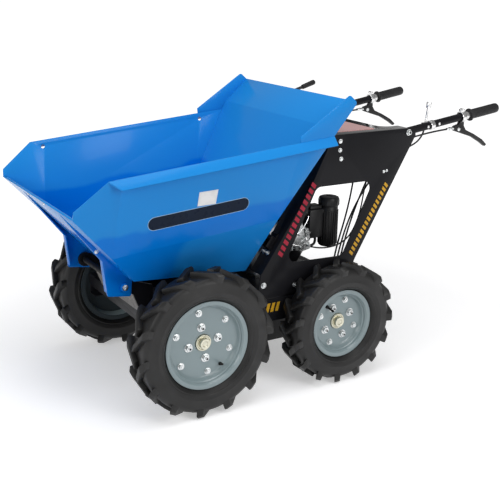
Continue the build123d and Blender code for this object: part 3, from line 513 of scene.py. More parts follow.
def add_wire(name, routes, radius, body, slot_name, material_name=None, replaced=None):
    """Round wire or cable along smooth routes, as a mesh."""
    data = bpy.data.curves.new(name, "CURVE")
    data.dimensions = "3D"
    data.bevel_depth = radius
    data.bevel_resolution = 3
    data.resolution_u = 8
    data.use_fill_caps = True
    for route in routes:
        spline = data.splines.new("NURBS")
        spline.points.add(len(route) - 1)
        for point, place in zip(spline.points, route):
            point.co = (*place, 1)
        spline.order_u = 3
        spline.use_endpoint_u = True
    curve = add_object(name, data)
    bpy.context.view_layer.update()
    mesh = bpy.data.meshes.new_from_object(curve)
    bpy.data.objects.remove(curve)
    bm = bmesh.new()
    bm.from_mesh(mesh)
    piece = finish_piece(name, bm, body, slot_name, material_name)
    if replaced:
        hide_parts(replaced)
    return piece


def copy_of(node):
    """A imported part's mesh as a bmesh of its own."""
    bm = bmesh.new()
    bm.from_mesh(frame["nodes"][node].data)
    return bm


def face_on(node, origin, direction):
    """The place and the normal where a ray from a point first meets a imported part."""
    bm = copy_of(node)
    place, normal, _, _ = BVHTree.FromBMesh(bm).ray_cast(origin, direction)
    bm.free()
    if place is None:
        raise RuntimeError(f"nothing of {node} lies from {tuple(origin)} towards {tuple(direction)}")
    return place, normal


def add_film(bm, node, outline, thickness, lift=0.00015):
    """A thin film whose outline, (y, z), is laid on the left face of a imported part."""
    hits = [face_on(node, Vector((0.6, y, z)), Vector((-1, 0, 0))) for y, z in outline]
    normal = hits[0][1]
    add_plate(bm, [place + normal * lift for place, _ in hits], thickness, normal)


def slanted_bars(start, end, width, count, slant, share):
    """Outlines, (y, z), of slanted bars in a row from one point to another."""
    start, end = Vector(start), Vector(end)
    along = (end - start).normalized()
    aside = Vector((-along.y, along.x))
    pitch = (end - start).length / count
    bars = []
    for i in range(count):
        low = start + along * pitch * (i + 0.5 - share / 2)
        high = low + along * pitch * share
        skew = along * slant
        edge = aside * width / 2
        bars.append([low - edge, high - edge, high + edge + skew, low + edge + skew])
    return bars


class DUMPER_OT_finishes(bpy.types.Operator):
    """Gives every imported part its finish"""

    bl_idname = "dumper.finishes"
    bl_label = "Finishes"

    def execute(self, context):
        for node, part in frame["nodes"].items():
            part.data.materials.clear()
            part.data.materials.append(material_for(SLOTS[node]))
        return {"FINISHED"}


# Chassis parts cut and folded from sheet: their faces are flat, as the skip's are. An edge sharper than
# FOLD_ANGLE degrees is rounded, and on the skip the slight fold of its sides is too
FOLDED = ("side_plate_left", "side_plate_right", "console", "main_frame", "belly_pan", "engine_deck")
FOLD_ANGLE = 33.0
SKIP_FOLD_ANGLE = 4.0
LEAST_BEND = radians(4)
FLAT_ANGLE = radians(0.6)

# How far the edges of each sheet or casting are rounded
EASED = {
    "skip_floor": 0.0009,
    "skip_rear_wall": 0.0009,
    "skip_wall": 0.0009,
    "skip_wing": 0.0009,
    "pivot_bracket": 0.0011,
    "side_plate": 0.0012,
    "console": 0.0010,
    "main_frame": 0.0012,
    "belly_pan": 0.0012,
    "engine_deck": 0.0015,
    "pivot_pin": 0.0012,
    "skip_rest": 0.003,
    "front_axle": 0.002,
    "rear_axle": 0.002,
    "gearbox": 0.003,
    "brake_lever": 0.002,
    "gear_lever": 0.0008,
    "engine_block": 0.0012,
    "engine_shroud": 0.003,
    "fuel_tank": 0.005,
    "muffler": 0.004,
    "carburettor": 0.0015,
}


def bends_gently(face):
    """Whether a face goes on into another at the small angle of a round part."""
    bends = [e.calc_face_angle(0) for e in face.edges if len(e.link_faces) == 2]
    return any(LEAST_BEND < bend < radians(FOLD_ANGLE) for bend in bends)


# How far the blue of the pivot pin's heads goes in past the brackets' outside
PIN_BLUE = 0.001


def paint_middle(piece, reach):
    """Paints the part of a pin between two brackets near-black as painted shade, and leaves its heads in the
    skip's blue.
    """
    piece.data.materials.clear()
    piece.data.materials.append(material_for("skip_paint"))
    piece.data.materials.append(material_for("valve_black_and_shade"))
    for face in piece.data.polygons:
        face.material_index = int(abs(face.center.x) < reach)


class DUMPER_OT_eased_parts(bpy.types.Operator):
    """Puts each plain part in again with its edges rounded as a folded or cast part's are"""

    bl_idname = "dumper.eased_parts"
    bl_label = "Eased parts"

    def execute(self, context):
        for body, nodes in frame["record"]["behaviour"]["bodies"].items():
            for node in nodes:
                width = EASED.get(node.removesuffix("_left").removesuffix("_right"))
                if width is None:
                    continue
                bm = copy_of(node)
                bmesh.ops.remove_doubles(bm, verts=bm.verts, dist=0.00001)
                bmesh.ops.dissolve_limit(bm, angle_limit=FLAT_ANGLE, verts=bm.verts, edges=bm.edges)
                folded = body == "skip" or node in FOLDED
                for face in bm.faces:
                    face.smooth = not folded and bends_gently(face)
                for face in ease_edges(bm, width, SKIP_FOLD_ANGLE if body == "skip" else FOLD_ANGLE):
                    face.smooth = True
                piece = finish_piece(f"eased_{node}", bm, body, SLOTS[node], smooth=None)
                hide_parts(node)
                if node == "pivot_pin":
                    paint_middle(piece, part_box("pivot_bracket_left")[1].x - PIN_BLUE)
        return {"FINISHED"}


# Wheels: the sizes that the two axles' wheels differ in. A row of bolts is their number, their circle
# and the turn of the first in degrees, and the nuts and the valve have their circle and their turn
WHEELS = {
    "front": {
        "lugs": 14,
        "flange": 0.141,
        "half": 0.036,
        "bolts": (6, 0.098, 39.0),
        "nuts": (0.051, 8.0),
        "valve": (0.102, -54.0),
    },
    "rear": {
        "lugs": 15,
        "flange": 0.116,
        "half": 0.031,
        "bolts": (4, 0.075, 68.0),
        "nuts": (0.054, 24.0),
        "valve": (0.074, 128.0),
    },
}
TRACK_HALF = 0.330
TYRE_HALF = 0.0525
LUG_WIDTH = 0.023
LUG_HEIGHT = 0.014
LUG_OVERLAP = 0.005
LUG_SHOULDER = 0.009
LUG_SHOULDER_DROP = 0.012
LUG_SKIRT = 0.044
LUG_EASE = 0.0024
LUG_EDGE_ANGLE = 20.0
LUG_FLARE = 1.22
CARCASS_INSET = 0.004
CARCASS_SHOULDER = 0.014
RIM_LIP = 0.014
RIM_SHEET = 0.0035
DISC_RECESS = 0.031
BARREL_DROP = 0.007
DISC_BORE = 0.027
WHEEL_STEPS = 112
RIM_EASE = 0.0006
HUB_STEPS = 64
HUB_EASE = 0.0012


def wheel_middle(end):
    """The middle of the left wheel of an axle, on its axis and in the middle of its tyre."""
    low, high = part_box(f"{end}_hub_left")
    middle = (low + high) / 2
    return Vector((TRACK_HALF, middle.y, middle.z))


def lug_block(top, lean):
    """One lug on top of a tyre, from the middle of the tread to its left shoulder."""
    shoulder = TYRE_HALF - LUG_SHOULDER
    root = top - LUG_HEIGHT - LUG_SHOULDER
    section = [
        (-LUG_OVERLAP, root),
        (-LUG_OVERLAP, top),
        (shoulder, top),
        (TYRE_HALF, top - LUG_SHOULDER_DROP),
        (TYRE_HALF - 2 * CARCASS_INSET, top - LUG_SKIRT),
        (shoulder - CARCASS_SHOULDER, root),
    ]
    part = bmesh.new()
    add_plate(part, [(x, -LUG_WIDTH / 2, z) for x, z in section], LUG_WIDTH, (0, 1, 0))
    low = [v for v in part.verts if v.co.z < top - LUG_HEIGHT]
    bmesh.ops.scale(part, vec=(1, LUG_FLARE, 1), verts=low)
    bmesh.ops.recalc_face_normals(part, faces=part.faces)
    ease_edges(part, LUG_EASE, LUG_EDGE_ANGLE)
    slope = Matrix.Identity(4)
    slope[1][0] = lean
    slope[1][3] = -lean * (shoulder - LUG_OVERLAP) / 2
    bmesh.ops.transform(part, matrix=slope, verts=part.verts)
    return part


def carcass_profile(plan, tread):
    """Half of the tyre's section as (distance from the middle, radius), from the bead to the tread."""
    bead = plan["half"] - RIM_SHEET - 0.0003
    lip = plan["flange"]
    side = TYRE_HALF - CARCASS_INSET
    return [
        (bead, lip - RIM_LIP + 0.0004),
        (bead, lip + 0.0004),
        (bead + 0.004, lip + 0.0035),
        (side - 0.006, lip + 0.008),
        (side - 0.003, lip + 0.012),
        (side - 0.0035, lip + 0.015),
        (side - 0.0005, lip + 0.019),
        (side + 0.0002, lip + 0.026),
        (side + 0.0012, lip + 0.028),
        (side + 0.0012, lip + 0.031),
        (side, lip + 0.033),
        (side, tread - CARCASS_SHOULDER - 0.004),
        (side - 0.003, tread - CARCASS_SHOULDER + 0.004),
        (side - 0.009, tread - 0.003),
        (side - CARCASS_SHOULDER, tread - 0.0002),
    ]


class DUMPER_OT_tyres(bpy.types.Operator):
    """Moulds the four tyres with their leaning lugs"""

    bl_idname = "dumper.tyres"
    bl_label = "Tyres"

    def execute(self, context):
        for end, plan in WHEELS.items():
            middle = wheel_middle(end)
            pitch = 2 * pi / plan["lugs"]
            tip_radius = middle.z / cos(pitch / 8)
            top = tip_radius * cos(3 * pitch / 8)
            lug_half = (TYRE_HALF - LUG_SHOULDER + LUG_OVERLAP) / 2
            lean = (tip_radius * sin(3 * pitch / 8) - LUG_WIDTH / 2) / lug_half
            lug = lug_block(top, lean)
            tread = bmesh.new()
            mirror = Matrix.Diagonal((-1, 1, 1, 1))
            for i in range(plan["lugs"]):
                turn = Matrix.Rotation(pi + i * pitch, 4, "X")
                merge(tread, lug, turn)
                merge(tread, lug, turn @ Matrix.Rotation(pitch / 2, 4, "X") @ mirror)
            lug.free()
            reach = -min(v.co.z for v in tread.verts)
            bmesh.ops.scale(tread, vec=(1, middle.z / reach, middle.z / reach), verts=tread.verts)
            half = carcass_profile(plan, top - LUG_HEIGHT)
            profile = half + [(-x, radius) for x, radius in half[::-1]]
            carcass = turned(profile, WHEEL_STEPS)
            merge(tread, carcass, facing((0, 0, 0), (1, 0, 0)))
            carcass.free()
            for side, sign in SIDES.items():
                bm = bmesh.new()
                place = Matrix.Translation((sign * middle.x, middle.y, middle.z))
                merge(bm, tread, place @ Matrix.Diagonal((sign, 1, 1, 1)))
                piece = finish_piece(f"{end}_tyre_moulded_{side}", bm, f"{end}_wheel_{side}", "tyre")
                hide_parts(f"{end}_tyre_{side}")
            tread.free()
        return {"FINISHED"}


def rim_profile(plan):
    """The rim's section as (distance from the middle of the tyre, radius)."""
    half = plan["half"]
    lip = plan["flange"] - 0.0004
    seat = plan["flange"] - RIM_LIP
    inside = seat - RIM_SHEET
    disc = half - DISC_RECESS
    return [
        (half, lip - 0.0005),
        (half - 0.0018, lip),
        (half - RIM_SHEET, lip - 0.0008),
        (half - RIM_SHEET, seat),
        (RIM_SHEET - half, seat),
        (RIM_SHEET - half, lip),
        (-half, lip),
        (-half, inside),
        (disc - 0.008, inside - BARREL_DROP + 0.003),
        (disc - 0.004, inside - BARREL_DROP - 0.006),
        (disc - 0.004, DISC_BORE),
        (disc, DISC_BORE),
        (disc, DISC_BORE + 0.004),
        (disc, inside - BARREL_DROP - 0.010),
        (disc + 0.0015, inside - BARREL_DROP - 0.0045),
        (disc + 0.006, inside - BARREL_DROP - 0.0005),
        (disc + 0.016, inside - 0.004),
        (disc + 0.0175, inside - 0.0005),
        (half - 0.007, inside),
        (half - 0.004, inside + 0.0025),
        (half - 0.0012, inside + 0.004),
    ]


def hub_profile(disc, inner, outer):
    """The hub's section as (distance from the middle of the tyre, radius): spindle, barrel, flange, cap."""
    spindle, barrel, flange, collar, cap = 0.015, 0.030, 0.064, 0.0258, 0.0168
    return [
        (inner, 0),
        (inner, spindle),
        (disc - 0.045, spindle),
        (disc - 0.045, barrel),
        (disc - 0.011, barrel),
        (disc - 0.011, flange),
        (disc - 0.004, flange),
        (disc - 0.004, collar),
        (disc + 0.005, collar),
        (disc + 0.005, 0.0215),
        (disc + 0.0015, 0.0210),
        (disc + 0.0015, cap),
        (outer, cap),
        (outer, 0.0090),
        (outer - 0.003, 0.0080),
        (outer - 0.003, 0),
    ]


class DUMPER_OT_rims(bpy.types.Operator):
    """Rolls the four rims and turns their hubs"""

    bl_idname = "dumper.rims"
    bl_label = "Rims and hubs"

    def execute(self, context):
        for end, plan in WHEELS.items():
            middle = wheel_middle(end)
            disc = plan["half"] - DISC_RECESS
            low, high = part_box(f"{end}_hub_left")
            hub = hub_profile(disc, low.x - middle.x, high.x - middle.x)
            for side, sign in SIDES.items():
                place = (sign * middle.x, middle.y, middle.z)
                body = f"{end}_wheel_{side}"
                bm = bmesh.new()
                add_turned(bm, place, (sign, 0, 0), rim_profile(plan), WHEEL_STEPS, RIM_EASE)
                rim = finish_piece(f"{end}_rim_rolled_{side}", bm, body, "rim_paint")
                # The faces that look in towards the machine take the darker grey of painted shade
                rim.data.materials.append(MATERIALS["rim_back_shade"])
                for face in rim.data.polygons:
                    if face.normal.x * sign < -0.5:
                        face.material_index = 1
                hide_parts(f"{end}_rim_{side}")
                bm = bmesh.new()
                add_turned(bm, place, (sign, 0, 0), hub, HUB_STEPS, HUB_EASE)
                hub_piece = finish_piece(f"{end}_hub_turned_{side}", bm, body, "hub_cream")
                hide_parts(f"{end}_hub_{side}")
        return {"FINISHED"}


# Wheel hardware: the dark socket in each hub nut's stud, which is a disc of painted shade, and the tyre
# valve, which stands out from the disc and leans in towards the hub. The rim's bolts are a share of the hub
# nuts
SOCKET_SHADE = [(0, 0), (0, 0.0034), (0.0044, 0.0034), (0.0044, 0)]
VALVE = [
    (0, 0),
    (0, 0.0055),
    (0.006, 0.0055),
    (0.008, 0.0035),
    (0.022, 0.0033),
    (0.024, 0.0042),
    (0.031, 0.0038),
    (0.031, 0),
]
VALVE_OUT = 0.9
VALVE_ASIDE = 0.43
HUB_NUTS = 4
NUT_STUD = 0.004
BOLT_STUD = 0.003
BOLT_SHARE = 0.8


class DUMPER_OT_wheel_fasteners(bpy.types.Operator):
    """Bolts each disc to its hub and rim, and puts in the tyre valve"""

    bl_idname = "dumper.wheel_fasteners"
    bl_label = "Wheel fasteners"

    def execute(self, context):
        sizes = context.scene.dumper_sizes
        for end, plan in WHEELS.items():
            middle = wheel_middle(end)
            disc = middle.x + plan["half"] - DISC_RECESS
            count, bolt_circle, bolt_turn = plan["bolts"]
            nut_circle, nut_turn = plan["nuts"]
            valve_circle, valve_turn = plan["valve"]

            def spot(sign, circle, degrees, out=0.0):
                angle = radians(degrees)
                return (sign * (disc + out), middle.y + circle * cos(angle), middle.z + circle * sin(angle))

            for side, sign in SIDES.items():
                body = f"{end}_wheel_{side}"
                bm = bmesh.new()
                dark = bmesh.new()
                for i in range(count):
                    degrees = bolt_turn + i * 360 / count
                    place = spot(sign, bolt_circle, degrees)
                    add_hex_bolt(bm, place, (sign, 0, 0), sizes.wheel_nut * BOLT_SHARE, BOLT_STUD)
                for i in range(HUB_NUTS):
                    degrees = nut_turn + i * 360 / HUB_NUTS
                    place = spot(sign, nut_circle, degrees)
                    add_hex_bolt(bm, place, (sign, 0, 0), sizes.wheel_nut, NUT_STUD)
                    # A dark disc of painted shade stands for the socket in the stud
                    rise = sizes.wheel_nut * 1.001
                    add_turned(dark, spot(sign, nut_circle, degrees, rise), (sign, 0, 0), SOCKET_SHADE, 16)
                finish_piece(f"{end}_wheel_bolts_{side}", bm, body, "zinc_steel")
                away = radians(valve_turn + 180)
                slant = (sign * VALVE_OUT, VALVE_ASIDE * cos(away), VALVE_ASIDE * sin(away))
                add_turned(dark, spot(sign, valve_circle, valve_turn), slant, VALVE, 20, 0.0004)
                finish_piece(f"{end}_wheel_valve_{side}", dark, body, "zinc_steel", "valve_black_and_shade")
        return {"FINISHED"}


# Controls: the two ends of the left tube's middle line, and places along the bars by their y
BAR_START = Vector((0.240, 0.300, 0.7804))
BAR_END = Vector((0.258, 0.81055, 0.8546))
BAR_RADIUS = 0.013
BAR_BORE = 0.0105
BAR_CUT_BACK = 0.003
SPACER_Y = (0.330, 0.397)
SPACER_RADIUS = 0.009
BAR_BOLT_Y = (0.490, 0.538)
CLAMP_Y = 0.640
SLEEVE_Y = 0.659
SIDE_FACE = 0.266
SIDE_INNER = 0.262
BAR_STEPS = 40
BAR_EASE = 0.0008
BAR_BOLT_SHARE = 0.48

# The bright sleeve: how far its inside and its outside stand off the tube, and its gap to the grip
SLEEVE_INNER = BAR_RADIUS + 0.0001
SLEEVE_OUTER = BAR_RADIUS + 0.0007
SLEEVE_GAP = 0.001
SLEEVE_EASE = 0.0003

# The brake lever's clamp: its tube's inside, outside and length, its ear, and the bolt through it
CLAMP = (0.0150, 0.0196, 0.016)
EAR_LOW = (-0.005, 0.017, -0.008)
EAR_HIGH = (0.005, 0.028, 0.008)
EAR_BOLT = 0.005
EAR_BOLT_UP = 0.023
CLAMP_EASE = 0.0015

# The cable's adjuster in front of the lever, and the lever's pivot
ADJUSTER = (0.252, 0.581, 0.7925)
ADJUSTER_PROFILE = [
    (0, 0),
    (0, 0.0042),
    (0.012, 0.0042),
    (0.012, 0.0058),
    (0.018, 0.0058),
    (0.018, 0.0045),
    (0.026, 0.0045),
    (0.026, 0.006),
    (0.031, 0.006),
    (0.031, 0),
]
ADJUSTER_STEPS = 24
ADJUSTER_EASE = 0.0004
LEVER_PIVOT = (0.2460, 0.632, 0.789)
LEVER_PIVOT_RADIUS = 0.0065
LEVER_PIVOT_LENGTH = 0.016

# The grip: a flange, a neck, a row of grooves and a rounded end
GRIP_LENGTH = 0.132
GRIP_RADIUS = 0.017
GRIP_BORE = BAR_RADIUS + 0.0003
GRIP_FLANGE = 0.022
GROOVES = 26
GROOVE_START = 0.014
GROOVE_PITCH = 0.004
GROOVE_DEPTH = 0.0007


def tube(inner, outer, length):
    """The section of a tube of a length."""
    return [(0, inner), (0, outer), (length, outer), (length, inner)]


def grip_profile():
    """The grip's section as (distance along, radius)."""
    flange = GRIP_FLANGE - 0.0015
    groove = GRIP_RADIUS - GROOVE_DEPTH
    profile = [(0, GRIP_BORE), (0, flange), (0.0015, GRIP_FLANGE), (0.0045, GRIP_FLANGE), (0.006, flange)]
    profile += [(0.0065, GRIP_RADIUS), (0.012, GRIP_RADIUS - 0.0004)]
    for i in range(GROOVES):
        along = GROOVE_START + i * GROOVE_PITCH
        profile += [(along, GRIP_RADIUS), (along + 0.0022, GRIP_RADIUS)]
        profile += [(along + 0.0026, groove), (along + 0.0036, groove)]
    profile += [(0.122, GRIP_RADIUS), (0.127, GRIP_RADIUS - 0.001), (0.1305, GRIP_RADIUS - 0.004)]
    profile += [(GRIP_LENGTH, GRIP_RADIUS - 0.008), (GRIP_LENGTH, 0)]
    return profile + [(GRIP_LENGTH - 0.003, 0), (GRIP_LENGTH - 0.003, GRIP_BORE)]


def bar_ends(sign):
    """Start and end of a handlebar's middle line on one side."""
    return (Vector((sign * p.x, p.y, p.z)) for p in (BAR_START, BAR_END))


def on_bar(sign, y):
    """The point of a handlebar's middle line at a y."""
    start, end = bar_ends(sign)
    return start + (end - start) * (y - start.y) / (end.y - start.y)


class DUMPER_OT_handlebars(bpy.types.Operator):
    """Draws the two handlebars with their grips, bright sleeves, clamps and bolts"""

    bl_idname = "dumper.handlebars"
    bl_label = "Handlebars"

    def execute(self, context):
        bolt = context.scene.dumper_sizes.bolt_radius
        for side, sign in SIDES.items():
            aside = (sign, 0, 0)
            start, end = bar_ends(sign)
            axis = (end - start).normalized()
            length = (end - start).length
            bm = bmesh.new()
            wall = tube(BAR_BORE, BAR_RADIUS, length - BAR_CUT_BACK)
            add_turned(bm, start, axis, wall, BAR_STEPS, BAR_EASE)
            for y in SPACER_Y:
                spot = on_bar(sign, y)
                add_round(bm, spot, aside, SPACER_RADIUS, SIDE_INNER - abs(spot.x))
            bar = finish_piece(f"handlebar_tube_{side}", bm, "chassis", "black_paint")
            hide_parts(f"handlebar_{side}")
            bm = bmesh.new()
            grip_start = end - axis * GRIP_LENGTH
            add_turned(bm, grip_start, axis, grip_profile(), BAR_STEPS)
            grip = finish_piece(f"grip_ribbed_{side}", bm, "chassis", "grip_rubber")
            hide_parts(f"hand_grip_{side}")
            bm = bmesh.new()
            sleeve_start = on_bar(sign, SLEEVE_Y)
            sleeve_length = (grip_start - sleeve_start).length - SLEEVE_GAP
            sleeve = tube(SLEEVE_INNER, SLEEVE_OUTER, sleeve_length)
            add_turned(bm, sleeve_start, axis, sleeve, BAR_STEPS, SLEEVE_EASE)
            clamp = on_bar(sign, CLAMP_Y)
            add_turned(bm, clamp, axis, tube(*CLAMP), BAR_STEPS, CLAMP_EASE)
            ear = clamp + axis * CLAMP[2] / 2
            add_box_on(bm, ear, axis, EAR_LOW, EAR_HIGH, CLAMP_EASE)
            for out in (sign, -sign):
                seat = ear + Vector((out * EAR_BOLT, 0, EAR_BOLT_UP))
                add_dome_bolt(bm, seat, (out, 0, 0), EAR_BOLT)
            for y in BAR_BOLT_Y:
                seat = on_bar(sign, y) + Vector((sign * BAR_RADIUS, 0, 0))
                add_dome_bolt(bm, seat, aside, bolt * BAR_BOLT_SHARE)
            finish_piece(f"handlebar_fittings_{side}", bm, "chassis", "bright_steel")
            bm = bmesh.new()
            x, y, z = ADJUSTER
            add_turned(bm, (sign * x, y, z), (0, 1, 0), ADJUSTER_PROFILE, ADJUSTER_STEPS, ADJUSTER_EASE)
            x, y, z = LEVER_PIVOT
            add_round(bm, (sign * x, y, z), aside, LEVER_PIVOT_RADIUS, LEVER_PIVOT_LENGTH, bevel=0.001)
            finish_piece(f"cable_adjuster_{side}", bm, "chassis", "zinc_steel")
        return {"FINISHED"}


def add_box_on(bm, place, axis, low, high, ease):
    """A box about a place, its Y pointing up and its Z along an axis."""
    axis = Vector(axis).normalized()
    aside = Vector((0, 0, 1)).cross(axis).normalized()
    turn = turn_of(aside, axis.cross(aside), axis)
    part = bmesh.new()
    add_box(part, low, high, ease)
    merge(bm, part, Matrix.Translation(place) @ turn)
    part.free()


# Control cables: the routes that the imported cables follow, from the left lever, the right lever and the
# gear lever down through the engine bay
CABLES = [
    [
        (0.252, 0.612, 0.792),
        (0.252, 0.530, 0.792),
        (0.222, 0.325, 0.748),
        (0.206, 0.236, 0.560),
        (0.206, 0.172, 0.360),
        (0.206, 0.172, 0.300),
    ],
    [
        (-0.252, 0.612, 0.792),
        (-0.252, 0.530, 0.792),
        (-0.170, 0.365, 0.768),
        (0.120, 0.305, 0.764),
        (0.176, 0.236, 0.560),
        (0.174, 0.172, 0.360),
        (0.174, 0.172, 0.300),
    ],
    [
        (0.215, 0.5115, 0.7915),
        (0.215, 0.503, 0.745),
        (0.200, 0.375, 0.716),
        (0.191, 0.236, 0.550),
        (0.190, 0.172, 0.360),
        (0.190, 0.172, 0.300),
    ],
]
THROTTLE_CABLE = [
    (0.133, 0.108, 0.402),
    (0.140, 0.160, 0.386),
    (0.170, 0.235, 0.415),
    (0.186, 0.270, 0.500),
    (0.190, 0.285, 0.620),
    (0.205, 0.310, 0.740),
    (0.210, 0.330, 0.8075),
]
BREATHER_HOSE = [
    (0.128, 0.090, 0.452),
    (0.130, 0.112, 0.455),
    (0.130, 0.128, 0.430),
    (0.129, 0.122, 0.404),
    (0.128, 0.100, 0.404),
]
CABLE_RADIUS = 0.0031
THROTTLE_RADIUS = 0.0026
HOSE_RADIUS = 0.0048


class DUMPER_OT_cables(bpy.types.Operator):
    """Runs the sheathed cables from the levers, and the throttle cable and hose of the engine"""

    bl_idname = "dumper.cables"
    bl_label = "Cables"

    def execute(self, context):
        add_wire("control_cables", CABLES, CABLE_RADIUS, "chassis", "cable_black", replaced="control_cable")
        add_wire("throttle_cable", [THROTTLE_CABLE], THROTTLE_RADIUS, "chassis", "cable_black")
        add_wire("breather_hose", [BREATHER_HOSE], HOSE_RADIUS, "chassis", "cable_black")
        return {"FINISHED"}


# Air cleaner: its upright middle line, and the heights of its can and of the cap on it
CLEANER_X = 0.125
CLEANER_Y = 0.182
CLEANER_BOTTOM = 0.398
CAN_TOP = 0.540
CAP_TOP = 0.571
CAN_RADIUS = 0.0325
CAN_STEPS = 56
CAP_RADIUS = 0.036
CAN_RIBS = 24
CAP_LUGS = 12
# A rib and a lug on the x axis: two corners and the easing
CAN_RIB = ((0.030, -0.0019, 0.008), (0.0348, 0.0019, 0.128), 0.0012)
CAP_LUG = ((0.034, -0.004, 0), (0.0368, 0.004, 0.018), 0.001)
LUGS_BELOW_TOP = 0.028
DUCT_RADIUS = 0.0165
DUCT_ROUTE = [
    (CLEANER_X, CLEANER_Y - 0.020, 0.520),
    (0.117, 0.125, 0.520),
    (0.110, 0.066, 0.524),
    (0.108, 0.064, 0.506),
    (0.108, 0.066, 0.479),
]


def cleaner_profile():
    """The can and its cap as (height over the bottom, radius)."""
    can = CAN_TOP - CLEANER_BOTTOM
    cap = CAP_TOP - CLEANER_BOTTOM
    profile = [(0, 0), (0, 0.028), (0.004, 0.0318), (0.010, CAN_RADIUS)]
    profile += [(can - 0.004, CAN_RADIUS), (can, 0.030), (can, 0.034)]
    profile += [(can + 0.004, CAP_RADIUS), (cap - 0.007, CAP_RADIUS)]
    profile += [(cap - 0.002, 0.0335), (cap, 0.029), (cap, 0.012)]
    return profile + [(cap - 0.0015, 0.010), (cap - 0.0015, 0)]


def add_ring(bm, place, low, high, ease, count, first=0.0):
    """Like blocks in a ring about an upright line, the first turned by a share of their pitch."""
    part = bmesh.new()
    add_box(part, low, high, ease)
    for i in range(count):
        merge(bm, part, Matrix.Translation(place) @ Matrix.Rotation((i + first) * 2 * pi / count, 4, "Z"))
    part.free()


class DUMPER_OT_air_cleaner(bpy.types.Operator):
    """Moulds the air cleaner's ribbed can, its cap and its duct"""

    bl_idname = "dumper.air_cleaner"
    bl_label = "Air cleaner"

    def execute(self, context):
        bottom = (CLEANER_X, CLEANER_Y, CLEANER_BOTTOM)
        under_cap = (CLEANER_X, CLEANER_Y, CAP_TOP - LUGS_BELOW_TOP)
        bm = bmesh.new()
        add_turned(bm, bottom, (0, 0, 1), cleaner_profile(), CAN_STEPS)
        add_ring(bm, bottom, *CAN_RIB, CAN_RIBS)
        add_ring(bm, under_cap, *CAP_LUG, CAP_LUGS, 0.5)
        can = finish_piece("air_cleaner_can", bm, "chassis", "cleaner_plastic")
        duct = add_wire("intake_duct", [DUCT_ROUTE], DUCT_RADIUS, "chassis", "cleaner_plastic")
        for piece in (can, duct):
            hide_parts("air_cleaner")
        return {"FINISHED"}


# Carburettor and governor: each plate's x and outline, (y, z)
GOVERNOR_PLATES = [
    (
        0.1345,
        [
            (0.030, 0.496),
            (0.062, 0.502),
            (0.070, 0.478),
            (0.092, 0.470),
            (0.096, 0.452),
            (0.060, 0.440),
            (0.040, 0.452),
        ],
    ),
    (
        0.1380,
        [(0.018, 0.455), (0.048, 0.470), (0.066, 0.448), (0.060, 0.424), (0.030, 0.412), (0.016, 0.430)],
    ),
    (
        0.1340,
        [(0.036, 0.425), (0.078, 0.438), (0.100, 0.420), (0.104, 0.398), (0.070, 0.392), (0.040, 0.400)],
    ),
    (0.1410, [(0.074, 0.470), (0.086, 0.472), (0.098, 0.430), (0.088, 0.426)]),
]
GOVERNOR_SHEET = 0.0018
GOVERNOR_CORNER = 0.004

# Screws and nuts of the governor: place, radius and stud
GOVERNOR_SCREWS = [
    ((0.1363, 0.045, 0.486), 0.005, 0.003),
    ((0.1363, 0.086, 0.461), 0.005, 0.003),
    ((0.1398, 0.030, 0.440), 0.005, 0.003),
    ((0.1398, 0.052, 0.455), 0.005, 0.003),
    ((0.1358, 0.060, 0.408), 0.0055, 0.004),
    ((0.1358, 0.090, 0.412), 0.0055, 0.004),
]
GOVERNOR_RODS = [
    [(0.142, 0.020, 0.448), (0.146, 0.050, 0.462), (0.146, 0.080, 0.500), (0.140, 0.088, 0.515)],
    [(0.144, 0.092, 0.434), (0.148, 0.070, 0.420), (0.148, 0.040, 0.418), (0.142, 0.026, 0.424)],
    [(0.140, 0.050, 0.500), (0.146, 0.052, 0.520), (0.140, 0.075, 0.536), (0.122, 0.078, 0.538)],
]
ROD_RADIUS = 0.0014
SPRING_START = (0.144, 0.060, 0.433)
SPRING_RISE = (0.036, 0.028)
SPRING_RADIUS = 0.0032
SPRING_WIRE = 0.0006
SPRING_TURNS = 9
SPRING_STEPS = 8

# Blocks round the carburettor, by piece: material slot, then each block's two corners and its easing,
# then each boss's place, radius, height, sides and easing
ENGINE_BLOCKS = {
    "carburettor_body_parts": (
        "carb_alloy",
        [
            ((0.090, 0.020, 0.482), (0.128, 0.052, 0.512), 0.004),
            ((0.088, 0.000, 0.395), (0.130, 0.038, 0.428), 0.005),
        ],
        [
            ((0.122, 0.046, 0.458), 0.012, 0.014, 28, 0.002),
            ((0.128, 0.022, 0.410), 0.010, 0.006, 24, 0.0015),
        ],
    ),
    "cleaner_bracket": (
        "black_paint",
        [
            ((0.070, -0.010, 0.512), (0.135, 0.070, 0.517), 0.001),
            ((0.130, 0.012, 0.500), (0.1335, 0.070, 0.517), 0.001),
        ],
        [],
    ),
    "intake_box": (
        "cleaner_plastic",
        [
            ((0.086, 0.094, 0.432), (0.140, 0.152, 0.534), 0.007),
            ((0.092, 0.100, 0.534), (0.134, 0.148, 0.545), 0.003),
        ],
        [],
    ),
}


def spring_route():
    """A coil along a sloping line, as points of a wire."""
    x, y, z = SPRING_START
    count = SPRING_TURNS * SPRING_STEPS
    route = []
    for i in range(count + 1):
        angle = 2 * pi * i / SPRING_STEPS
        along, up = (rise * (i / count) for rise in SPRING_RISE)
        route.append((x + SPRING_RADIUS * cos(angle), y + along, z + SPRING_RADIUS * sin(angle) + up))
    return route


